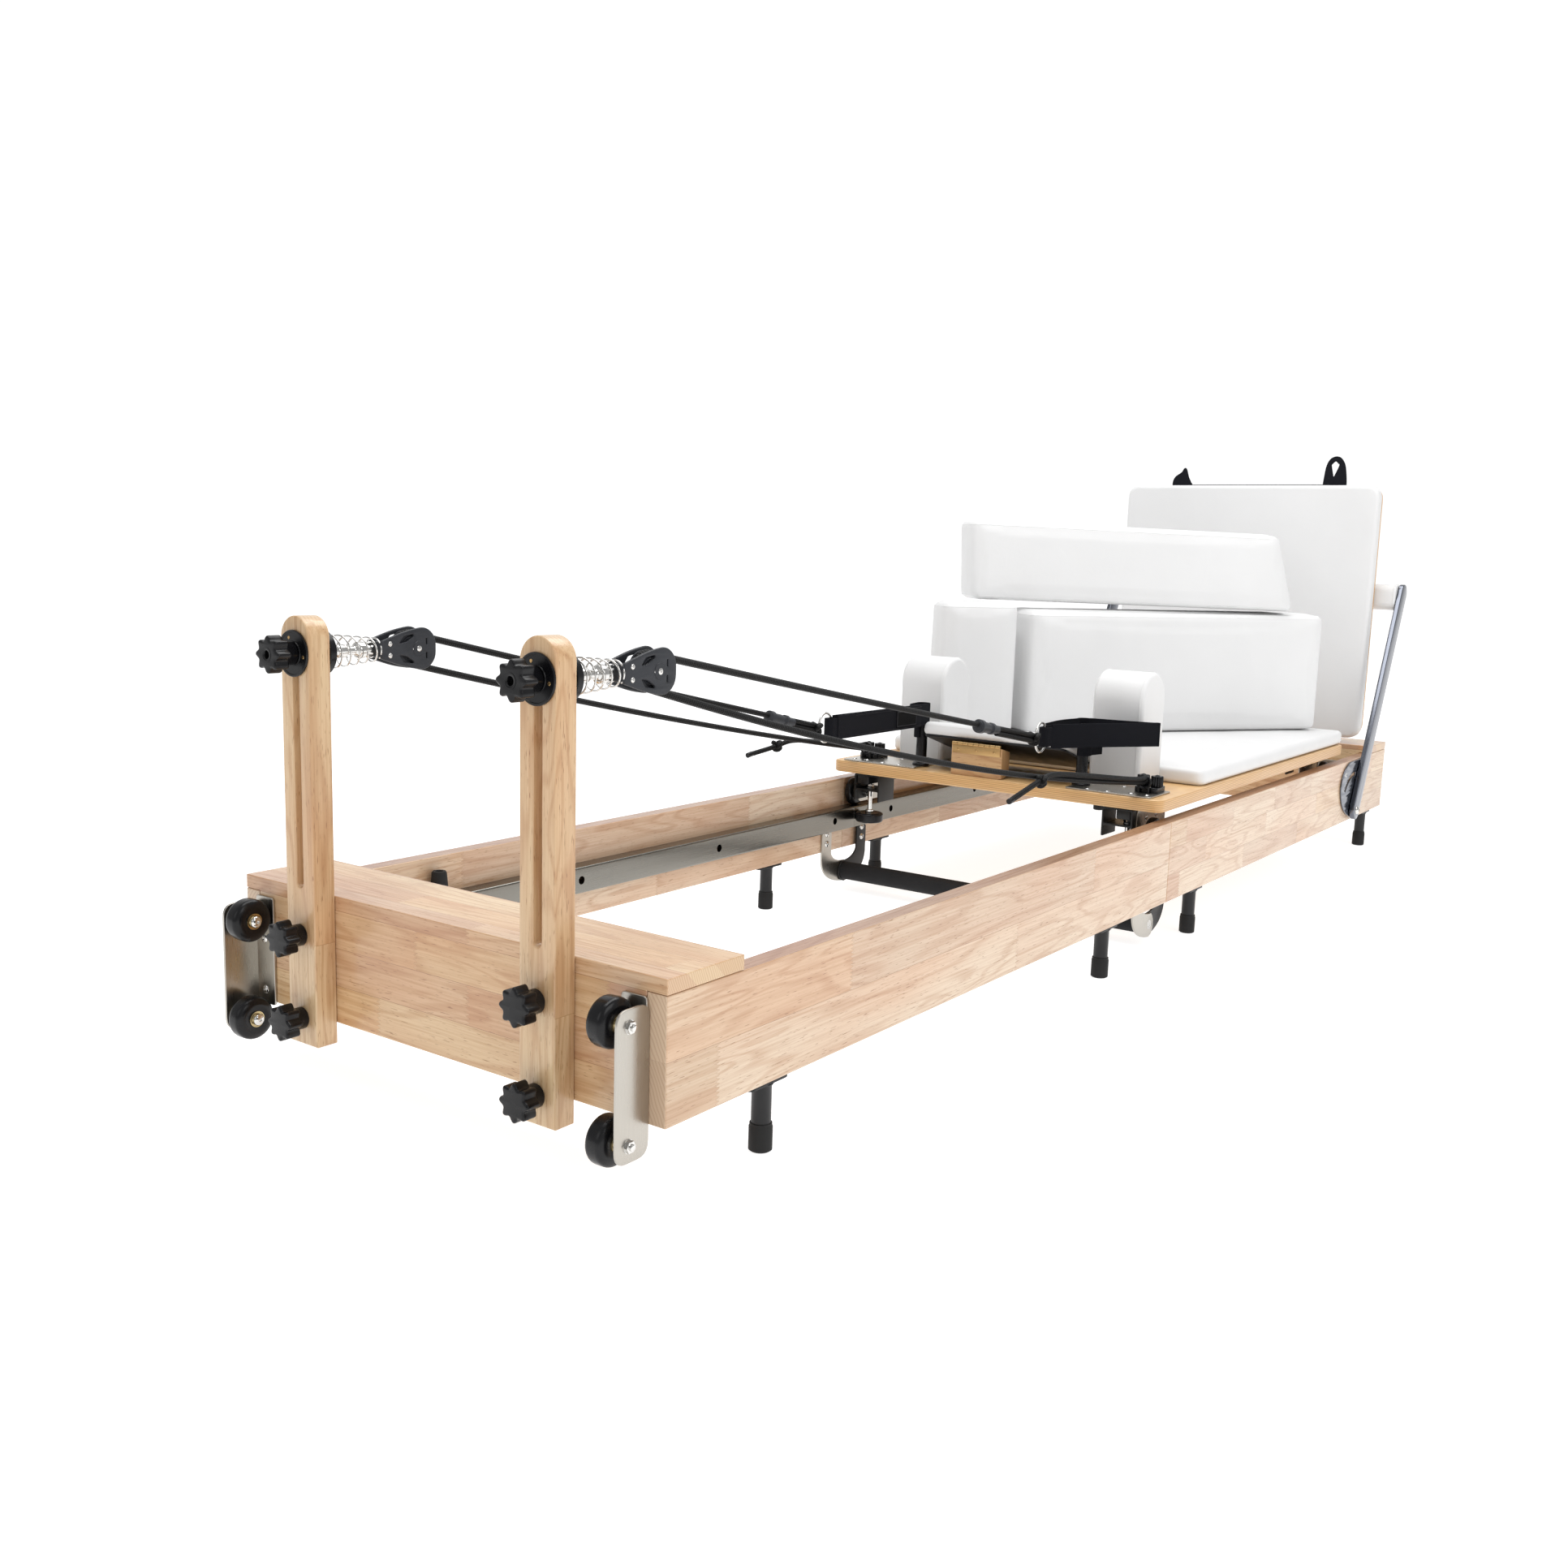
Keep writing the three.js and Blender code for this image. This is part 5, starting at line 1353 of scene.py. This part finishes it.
def headrest():
    """A flat pad on a thin black steel base, tilted up from its hinge. The black base darkens the shaded gap
    under the pad: painted shade.
    """
    length, thick, half = HEADREST["length"], HEADREST["thick"], HEADREST["half"]
    outline = rectangle(-length - 2, -1, -half, half, 14, 8)
    pad = soft_slab(outline, "z", (3.4, thick - 1.6), 9, 1.6)
    # A thin black plate under the pad, put there to darken the shaded underside: painted shade.
    base = slab(rectangle(-length + 2, -5, -half + 4, half - 4, 10, 8), "z", (0.4, 4), 0.8)
    inset = rectangle(-length - 1.2, -1.8, -half + 0.8, half - 0.8, 13, 8)
    line = seam_cord([(u, v, thick - 9) for u, v in inset])
    turn = Matrix.Rotation(math.radians(HEADREST["tilt"]), 4, "Y")
    parts = [(moved(mesh, HEADREST["x"], 0, HEADREST["z"], turn), look)
             for mesh, look in ((pad, LEATHER), (line, LEATHER), (base, BLACK_STEEL))]
    made = piece("headrest_cover", parts, "headrest_body", ["headrest"], 60)


PROP = {"x": 1193, "z": 293, "width": 96, "y": 22, "depth": 28, "radius": 54, "knuckles": 9}


def prop():
    """A wooden block with a rounded foot, hung on a piano hinge under the headrest."""
    swing = math.degrees(math.asin(PROP["depth"] / PROP["radius"]))
    x, z = PROP["x"], PROP["z"]
    low = arc(x, z, PROP["radius"], -90, swing - 90, 10)
    outline = [(x, z - 3), *low, (x + PROP["depth"], z - 10)]
    y0, y1 = PROP["y"] - PROP["width"] / 2, PROP["y"] + PROP["width"] / 2
    parts = [(slab(outline, "y", (y0, y1), 1.4), BLOCK_WOOD)]
    step = (y1 - y0 - 4) / PROP["knuckles"]
    for i in range(PROP["knuckles"]):
        start = y0 + 2 + i * step
        knuckle = rod(2.6, "y", (start + 0.3, start + step - 0.3), (x - 1.2, 0, z - 0.4), 0.3, 16)
        parts.append((knuckle, BRASS))
    parts.append((block((x - 1.6, x - 0.4), (y0 + 3, y1 - 3), (z - 17, z - 2), 0.3), BRASS))
    for offset in (-34, 0, 34):
        parts.append((button("x", 2.6, x - 1.5, -1.0, (0, PROP["y"] + offset, z - 10)), BRASS))
    piece("prop_block", parts, "prop_body", ["headrest_prop"])


# ---------------------------------------------------------------- under the deck
DECK_LOW = 218.2
WHEEL = {"x": (1225, 2125), "y": 283, "z": 180}
HANGER = {"near": 210, "far": 262, "low": 171, "depth": 50, "wall": 3, "shelf": 189}
GUIDE_Y = 244
SIDE_SCREWS = (1350, 1600, 1850)
CROSS_BARS = (1500, 2000)
SPRING_BAR = 1700
SPRING = {"y": (-150, -50, 50, 150), "z": 175, "from": 1692, "to": 2300, "radius": 12, "wire": 1.5}


def guide_wheel(x, y):
    """A wheel lying flat that keeps the carriage between the rails, with its axle and nut."""
    profile = fillet([(5, 130.4), (22, 130), (24.6, 132.5), (24.6, 144.5), (22, 147), (5, 146.6)],
                     [0, 2, 3, 3, 2, 0])
    race = [(5.2, 129.8), (9.5, 129.8), (9.5, 131), (5.2, 131), (5.2, 129.8)]
    parts = [(lathe(profile + profile[:1], "z", (x, y, 0), 48), WHEEL_BLACK),
             (lathe(race, "z", (x, y, 0), 28), GOLD_ZINC),
             (rod(4, "z", (131, HANGER["shelf"] + 3), (x, y, 0)), CHROME),
             (button("z", 7, 130.2, -3, (x, y, 0)), CHROME),
             (rod(7, "z", (147, 152), (x, y, 0)), CHROME)]
    return parts + nut("z", 12, HANGER["shelf"] + 2.8, 6, (x, y, 0), 4)


def hanger(side, wheel_x, toward):
    """The bracket under the deck that holds a running wheel and a guide wheel."""
    near, far, wall = HANGER["near"], HANGER["far"], HANGER["wall"]
    front = wheel_x - toward * 35
    limits = sorted((front, front + toward * HANGER["depth"]))
    middle = sum(limits) / 2
    section = [(near, HANGER["low"]), (near, DECK_LOW), (far, DECK_LOW), (far, HANGER["low"]),
               (far - wall, HANGER["low"]), (far - wall, HANGER["shelf"]), (near + wall, HANGER["shelf"]),
               (near + wall, HANGER["low"])]
    inside = [(near + wall, HANGER["shelf"] + wall), (near + wall, DECK_LOW - wall),
              (far - wall, DECK_LOW - wall), (far - wall, HANGER["shelf"] + wall)]
    flip = [[(side * y, z) for y, z in loop] for loop in (fillet(section, [1.5, 4, 4, 1.5, 0, 2, 2, 0]),
                                                         fillet(inside, 2))]
    parts = [(slab(flip[0], "x", limits, 0.5, flip[1:]), BRACKET_BLACK)]
    run = sorted((front + toward * 15, front + toward * 130))
    plate = slab(rectangle(*run, HANGER["low"] - 6, DECK_LOW - 2, 8), "y",
                 sided(side, far - 0.4, far + 1.6), 0.4)
    parts.append((plate, BRUSHED))
    parts.append((rod(6, "y", sided(side, far - 6, WHEEL["y"] + 7), (wheel_x, 0, WHEEL["z"])), CHROME))
    parts += nut("y", 13, side * (far - wall - 3), -side * 6, (wheel_x, 0, WHEEL["z"]), 4.5)
    for shift in (52, 92):
        spot = (front + toward * shift, 0, 200)
        parts.append((button("y", 4.5, side * (far + 1.5), side * 2, spot), CHROME))
    return parts + guide_wheel(middle, side * GUIDE_Y)


def chassis():
    """Two side bars and three cross bars under the deck, with the hangers and the springs' pins."""
    parts = []
    front, back = WHEEL["x"]
    for _, side in SIDES:
        side_bar = block((front - 33, back + 33), sided(side, 233, 257.5), (200.4, DECK_LOW), 2)
        parts.append((side_bar, BRACKET_BLACK))
        parts += hanger(side, front, 1) + hanger(side, back, -1)
        for x in SIDE_SCREWS:
            parts.append((button("z", 5, 200.6, -2.4, (x, side * 245, 0)), CHROME))
    for x, half, low in (*((x, 15, 200) for x in CROSS_BARS), (SPRING_BAR, 12, 194)):
        parts.append((block((x - half, x + half), (-240, 240), (low, DECK_LOW), 2), BRACKET_BLACK))
    for y in SPRING["y"]:
        parts.append((rod(4, "z", (187.5, 200), (SPRING_BAR, y, 0)), CHROME))
        parts.append((rod(7, "z", (188, 190), (SPRING_BAR, y, 0)), CHROME))
    piece("chassis_steel", parts, "carriage", ["carriage_chassis"])


def running_wheel(word, row):
    """A wheel that carries the deck along its track, with bearings and six marks in each face."""
    node = f"carriage_wheel_{row}_{word}"
    low, high = span(node)
    radius = (high.z - low.z) / 2
    tread = fillet([(6.4, low.y + 1), (radius - 6, low.y), (radius, low.y + 2.4), (radius, high.y - 2.4),
                    (radius - 6, high.y), (6.4, high.y - 1)], [0, 2, 3, 3, 2, 0])
    centre = (WHEEL["x"][row - 1], 0, WHEEL["z"])
    parts = [(lathe(tread + tread[:1], "y", centre, 48), WHEEL_BLACK)]
    for face, turn in ((low.y, 1), (high.y, -1)):
        race = [(6.3, face + turn * 0.4), (11, face + turn * 0.4), (11, face + turn * 2),
                (6.3, face + turn * 2), (6.3, face + turn * 0.4)]
        parts.append((lathe(race, "y", centre, 32), GOLD_ZINC))
        limits = sorted((face - turn * 0.1, face + turn * 1.2))
        for x, z in circle(centre[0], centre[2], 14.6, 6):
            parts.append((rod(2.2, "y", limits, (x, 0, z), 0.3, 12), WHEEL_BLACK))
    piece(f"running_wheel_{row}_{word}", parts, node, [node])


def springs():
    """The springs' bar at the foot end, and four coils that stretch between it and the carriage."""
    radius = SPRING["radius"] - SPRING["wire"]
    low, high = span("spring_set")
    bar = block((SPRING["to"] - 6, high.x), (low.y, high.y), (low.z, high.z), 1.6)
    parts = [(bar, BRUSHED)]
    for y in SPRING["y"]:
        parts.append((rod(4.5, "x", (SPRING["to"] - 13, SPRING["to"] - 5), (0, y, SPRING["z"])), CHROME))
    piece("spring_bar", parts, "foot_frame", ["spring_set"])
    start, end = SPRING["from"] + 2, SPRING["to"] - 12
    for number, y in enumerate(SPRING["y"]):
        coil = helix((start, y, SPRING["z"]), (end, y, SPRING["z"]), 104,
                     lambda share: radius, 1.0, 14)
        made = piece(f"spring_{number + 1}", [(tube(coil, SPRING["wire"], 7), CHROME)], None, ())
        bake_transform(made)


# ---------------------------------------------------------------- footbar
BAR = {"pivot": (2213, 98), "top": (2441, 548), "half": 20, "inner": 324.3, "outer": 334.3}
BAR_PAD = {"x": (2407, 2461), "z": (513, 567), "corner": 17}


def footbar():
    """Two flat steel arms and the padded bar between their upper ends."""
    pivot, top = Vector(BAR["pivot"]), Vector(BAR["top"])
    ahead = (top - pivot).normalized()
    half = BAR["half"]
    angle = math.degrees(math.atan2(ahead.y, ahead.x))
    outline = [*arc(*top, half, angle - 90, angle + 90, 16), *arc(*pivot, half, angle + 90, angle + 270, 16)]
    hole = circle(*pivot, 5.3, 24)
    parts = []
    for _, side in SIDES:
        parts.append((slab(outline, "y", sided(side, BAR["inner"], BAR["outer"]), 1.6, [hole]), ARM_STEEL))
        for shift in (-13, 7):
            x, z = top + ahead * shift
            parts.append((button("y", 6.4, side * (BAR["outer"] - 0.2), side * 0.19, (x, 0, z)), CHROME))
    piece("footbar_arms", parts, "footbar_body", ["footbar"])
    outline = rectangle(*BAR_PAD["x"], *BAR_PAD["z"], BAR_PAD["corner"], 10)
    pad = soft_slab(outline, "y", (-BAR["inner"] + 0.6, BAR["inner"] - 0.6), 4, 0)
    parts = [(pad, LEATHER)]
    for y in (-BAR["inner"] + 5, BAR["inner"] - 5):
        parts.append((seam_cord([(u, y, v) for u, v in outline]), LEATHER))
    seam = [(top.x - 4, y, BAR_PAD["z"][0]) for y in (-BAR["inner"] + 3, BAR["inner"] - 3)]
    parts.append((seam_cord(seam, False), LEATHER))
    cover = piece("footbar_pad", parts, "footbar_body", (), 60)


BAR_PLATE_BOLTS = ((2280, 160), (2286, 190), (2150, 178))


def bar_plate(word, side):
    """The curved plate on the rail that carries the foot bar's pivot."""
    x, z = BAR["pivot"]
    outline = [(x + 14, z - 14), (x - 10, z - 14)]
    outline += bezier(outline[-1], (x - 84, z + 4), (x - 90, z + 56))
    outline += bezier(outline[-1], (x - 84, z + 96), (x - 30, z + 104))
    outline += [(x + 74, z + 104), (x + 78, z + 100), (x + 78, z + 60)]
    outline += bezier(outline[-1], (x + 70, z + 30), (x + 14, z - 14))[:-1]
    band = arc(x, z, 80, 84, 144, 10) + arc(x, z, 72, 144, 84, 10)
    plate = slab(outline, "y", sided(side, 320.3, 323.5), 0.9, [fillet(band, 2.5)])
    parts = [(plate, ARM_STEEL), (rod(5, "y", sided(side, 321, 337), (x, 0, z)), CHROME)]
    parts.append((button("y", 9, side * 334.5, side * 4.6, (x, 0, z)), CHROME))
    for bolt_x, bolt_z in BAR_PLATE_BOLTS:
        parts.append((button("y", 5, side * 323.4, side * 0.7, (bolt_x, 0, bolt_z)), CHROME))
    piece(f"bar_plate_{word}", parts, "foot_frame", [f"footbar_plate_{word}"])


# ---------------------------------------------------------------- jump board
JUMP = {"x": 2356, "pad": 33, "board": 12, "half": 285, "low": 231, "top": 777, "corner": 30}
TAB = {"left": {"y": 166, "height": 40}, "right": {"y": 180, "height": 63}}
DOWEL = {"x": 2378, "y": 180, "low": 196}


def standing_loop(y, height, front):
    """A wide webbing loop standing on the board's top edge, with a slim teardrop opening."""
    base, tip = JUMP["top"] - 11, JUMP["top"] + height
    outer = smooth_path([(y - 26, base, 0), (y - 25, base + height * 0.4, 0), (y - 20, tip - 19, 0),
                         (y - 11, tip - 4, 0), (y, tip, 0), (y + 12, tip - 5, 0), (y + 20, tip - 20, 0),
                         (y + 24, base + height * 0.4, 0), (y + 26, base, 0)], 6)
    hole = smooth_path([(y + 2, tip - height * 0.68, 0), (y - 7, tip - height * 0.32, 0),
                        (y - 5, tip - 16, 0), (y + 1, tip - 11, 0), (y + 8, tip - 17, 0),
                        (y + 9, tip - height * 0.32, 0), (y + 4, tip - height * 0.68, 0)], 6)
    loops = [[(p.x, p.y) for p in path] for path in (outer, hole)]
    return [slab(loops[0], "x", (front, front + 5.5), 1.6, loops[1:])]


def folded_loop(y, height, front):
    """The other loop, slumped over on itself."""
    base, tip = JUMP["top"] - 11, JUMP["top"] + height
    layers = []
    for offset, drop in ((0, 0), (4.6, 9)):
        outline = smooth_path([(y - 22, base, 0), (y - 22, base + 16, 0), (y - 15, tip - 20 - drop, 0),
                               (y - 9, tip - 2 - drop, 0), (y - 3, tip - drop, 0), (y + 3, tip - 9 - drop, 0),
                               (y + 17, tip - 19 - drop, 0), (y + 23, tip - 32, 0), (y + 22, base, 0)], 6)
        limits = (front + offset, front + offset + 4.2)
        layers.append(slab([(p.x, p.y) for p in outline], "x", limits, 1.4))
    return layers


def jump_board():
    """The padded board with its ply back, webbing loops and two steel dowels."""
    half, low, top = JUMP["half"], JUMP["low"], JUMP["top"]
    back = JUMP["x"] + JUMP["pad"]
    outline = rectangle(-half, half, low, top, JUMP["corner"], 10)
    pad = soft_slab(outline, "x", (JUMP["x"] + 1, back), 9, 0)
    board = slab(rectangle(-half + 3, half - 3, low + 3, top - 3, JUMP["corner"] - 2, 10), "x",
                 (back - 0.5, back + JUMP["board"]), 1.2)
    inset = rectangle(-half + 1, half - 1, low + 1, top - 1, JUMP["corner"] - 1, 10)
    line = seam_cord([(JUMP["x"] + 9, u, v) for u, v in inset])
    cover = piece("jump_pad", [(pad, LEATHER), (line, LEATHER)], "jump_board_body", ["jump_board"],
                  60)
    parts = [(board, PLY)]
    across = (-TAB["right"]["y"], TAB["left"]["y"])
    parts.append((block((back - 2.4, back + 2.6), across, (top - 2.8, top + 2.6), 0.8), WEBBING))
    for word, side in SIDES:
        y = side * TAB[word]["y"]
        loop = standing_loop if word == "right" else folded_loop
        parts += [(layer, WEBBING) for layer in loop(y, TAB[word]["height"], back - 3)]
        spot = (DOWEL["x"], side * DOWEL["y"], 0)
        parts.append((rod(8, "z", (DOWEL["low"], low + 10), spot, 1.5), CHROME))
        parts.append((rod(13, "z", (low - 3, low + 1), spot, 1), CHROME))
        for z in (low + 60, low + 130):
            parts.append((button("x", 6, back + JUMP["board"] - 0.6, 0.5, (0, spot[1], z)), CHROME))
    piece("jump_back", parts, "jump_board_body", ())


# ---------------------------------------------------------------- loose cushions
CUSHION_FLOOR = 268.4
CUSHIONS = {
    "long": {"at": (1576, 122), "heading": -35.4, "size": (672, 160, 236), "low": 0, "slope": 0},
    "tall": {"at": (1432, 235), "heading": -42, "size": (154, 112, 250), "low": 0, "slope": 0},
    "top": {"at": (1549, 238), "heading": -42, "size": (690, 130, 152), "low": 253, "slope": 1},
}
TOP_LEAN = {"right": 0.28, "left": -0.05, "front": 0.06}
CORNERS = (24, 24, 24, 66)  # front left, front right, back right and back left, seen from above
EDGE = 13
SLACK = 1.5
SINK = 0.35


def lean(point, size):
    """The top cushion's ends and front lean in towards its upper face."""
    reach, depth, rise = point.x / size[0], point.y / size[1], point.z
    point.x += rise * (TOP_LEAN["left"] * (1 - reach) - TOP_LEAN["right"] * reach)
    point.y += rise * TOP_LEAN["front"] * (1 - depth)


def cushion(name, body, node):
    """A loose cushion: a foam block in a sewn cover, with seams round its upper and lower edges."""
    plan = CUSHIONS[name]
    length, depth, height = plan["size"]
    outline = rectangle(SLACK, length - SLACK, SLACK, depth - SLACK, CORNERS, 8)
    mesh = slab(outline, "z", (0.4, height - SLACK), EDGE, (), 6)
    levels = [[Vector((u, v, z)) for u, v in outline] for z in (EDGE * 0.5, height - SLACK - EDGE * 0.5)]
    if name == "top":
        for place in (*(vert.co for vert in mesh.vertices), *(point for level in levels for point in level)):
            lean(place, plan["size"])
    mesh = inflate(mesh)
    parts = [mesh] + [seam_cord(dense(sewn(mesh, dense(level, 8), SINK), 8)) for level in levels]
    turn = Matrix.Rotation(math.radians(plan["heading"]), 4, "Z")
    tilt = Matrix.Rotation(math.radians(plan["slope"]), 4, "Y")
    x, y = plan["at"]
    placed = [(moved(part, x, y, CUSHION_FLOOR + plan["low"], turn @ tilt), LEATHER) for part in parts]
    made = piece(f"cushion_{name}_cover", placed, body, [node] if node else [], 70)


# ---------------------------------------------------------------- assembly
for word, side in SIDES:
    rope_post(word)
    for half in ("head", "foot"):
        track(half, word, side)
        for row in (1, 2):
            leg(f"{half}_leg_{row}_{word}", f"{half}_frame", side)
    for row in (1, 2):
        knob(f"post_star_{row}_{word}", f"post_knob_{row}_{word}", 0, 12)
        castor_wheel(word, row)
        running_wheel(word, row)
    knob(f"riser_star_{word}", f"riser_knob_{word}", 4.6, 0)
    castor_bracket(word, side)
    pulley_block(word, side)
    sheave(word, side)
    ropes(word, side)
    adjuster(word, side)
    tail(word, side)
    rope_plate(word, side)
    shoulder_rest(word)
    bar_plate(word, side)
fold_hinge()
deck()
deck_pad()
headrest()
prop()
chassis()
springs()
footbar()
jump_board()
cushion("long", "lower_cushions", "cushion_pair")
cushion("tall", "lower_cushions", None)
cushion("top", "top_cushion", "cushion_top")


# ---------------------------------------------------------------- studio
SEEN_WHITE = 1.05
BACKDROP_AHEAD = (0.81, 0.586, 0.0)


def studio_floor():
    """A wide white floor that glows a little, so that it is nearly free of shadows."""
    bpy.ops.mesh.primitive_plane_add(size=60, location=(0, 0, 0))
    floor = bpy.context.object
    floor.name = "studio_floor"
    s = Shader("studio_white")
    marks = s.noise(s.place(), 3.0, 2.0)
    floor.data.materials.append(s.finish(Base_Color=s.ramp(marks, (0.3, 0.48), (0.7, 0.52)),
                                         Roughness=s.ramp(marks, (0.3, 0.85), (0.7, 0.95)),
                                         Emission_Color=WHITE, Emission_Strength=0.84))


def softbox(name, place, aim, size, power):
    """A rectangular area light pointed at a place."""
    data = bpy.data.lights.new(name, "AREA")
    data.shape = "RECTANGLE"
    data.size, data.size_y = size
    data.energy = power
    lamp = bpy.data.objects.new(name, data)
    lamp.location = place
    lamp.rotation_euler = (Vector(aim) - Vector(place)).to_track_quat("-Z", "Y").to_euler()
    bpy.context.scene.collection.objects.link(lamp)


def studio_world(ambient):
    """White where it is seen, dimmer where it lights the machine, and bright again in reflections of the
    backdrop, which stands on the far side."""
    world = bpy.data.worlds.new("studio")
    world.use_nodes = True
    nodes, links = world.node_tree.nodes, world.node_tree.links
    path = nodes.new("ShaderNodeLightPath")
    facing = nodes.new("ShaderNodeVectorMath")
    facing.operation = "DOT_PRODUCT"
    facing.inputs[1].default_value = BACKDROP_AHEAD
    links.new(nodes.new("ShaderNodeTexCoord").outputs["Generated"], facing.inputs[0])
    backdrop = nodes.new("ShaderNodeMapRange")
    backdrop.inputs["From Min"].default_value = 0.35
    backdrop.inputs["From Max"].default_value = 0.75
    backdrop.inputs["To Min"].default_value = ambient
    backdrop.inputs["To Max"].default_value = SEEN_WHITE
    links.new(facing.outputs["Value"], backdrop.inputs["Value"])
    level = nodes.new("ShaderNodeMix")
    level.inputs[2].default_value = ambient
    links.new(path.outputs["Is Glossy Ray"], level.inputs[0])
    links.new(backdrop.outputs["Result"], level.inputs[3])
    seen = nodes.new("ShaderNodeMix")
    seen.inputs[3].default_value = SEEN_WHITE
    links.new(path.outputs["Is Camera Ray"], seen.inputs[0])
    links.new(level.outputs[0], seen.inputs[2])
    links.new(seen.outputs[0], nodes["Background"].inputs["Strength"])
    nodes["Background"].inputs["Color"].default_value = WHITE
    bpy.context.scene.world = world


CAMERA = {"place": (-2.2001, -1.16705, 0.6119), "yaw": 35.85, "pitch": 9.07, "roll": 1.66, "lens": 34.174}


def camera():
    """A level camera turned by its yaw, then tipped down and rolled."""
    yaw, pitch, roll = (math.radians(CAMERA[key]) for key in ("yaw", "pitch", "roll"))
    ahead = Vector((math.cos(pitch) * math.cos(yaw), math.cos(pitch) * math.sin(yaw), -math.sin(pitch)))
    right = Vector((math.sin(yaw), -math.cos(yaw), 0))
    up = right.cross(ahead)
    right, up = (right * math.cos(roll) + up * math.sin(roll), up * math.cos(roll) - right * math.sin(roll))
    data = bpy.data.cameras.new("camera")
    data.sensor_width = 36
    data.lens = CAMERA["lens"]
    made = bpy.data.objects.new("camera", data)
    turn = Matrix((right, up, -ahead)).transposed().to_4x4()
    made.matrix_world = Matrix.Translation(CAMERA["place"]) @ turn
    bpy.context.scene.collection.objects.link(made)
    bpy.context.scene.camera = made


studio_floor()
studio_world(0.44)
softbox("key", (-0.8, -3.4, 2.4), (0, 0, 0.2), (3.0, 1.8), 33)
softbox("front", (-4.2, 0.6, 2.0), (0, 0, 0.3), (1.8, 1.8), 9)
softbox("overhead", (0.2, 0.0, 3.4), (0.2, 0, 0), (4.0, 2.2), 98)
camera()
bpy.context.scene.view_settings.view_transform = "Standard"
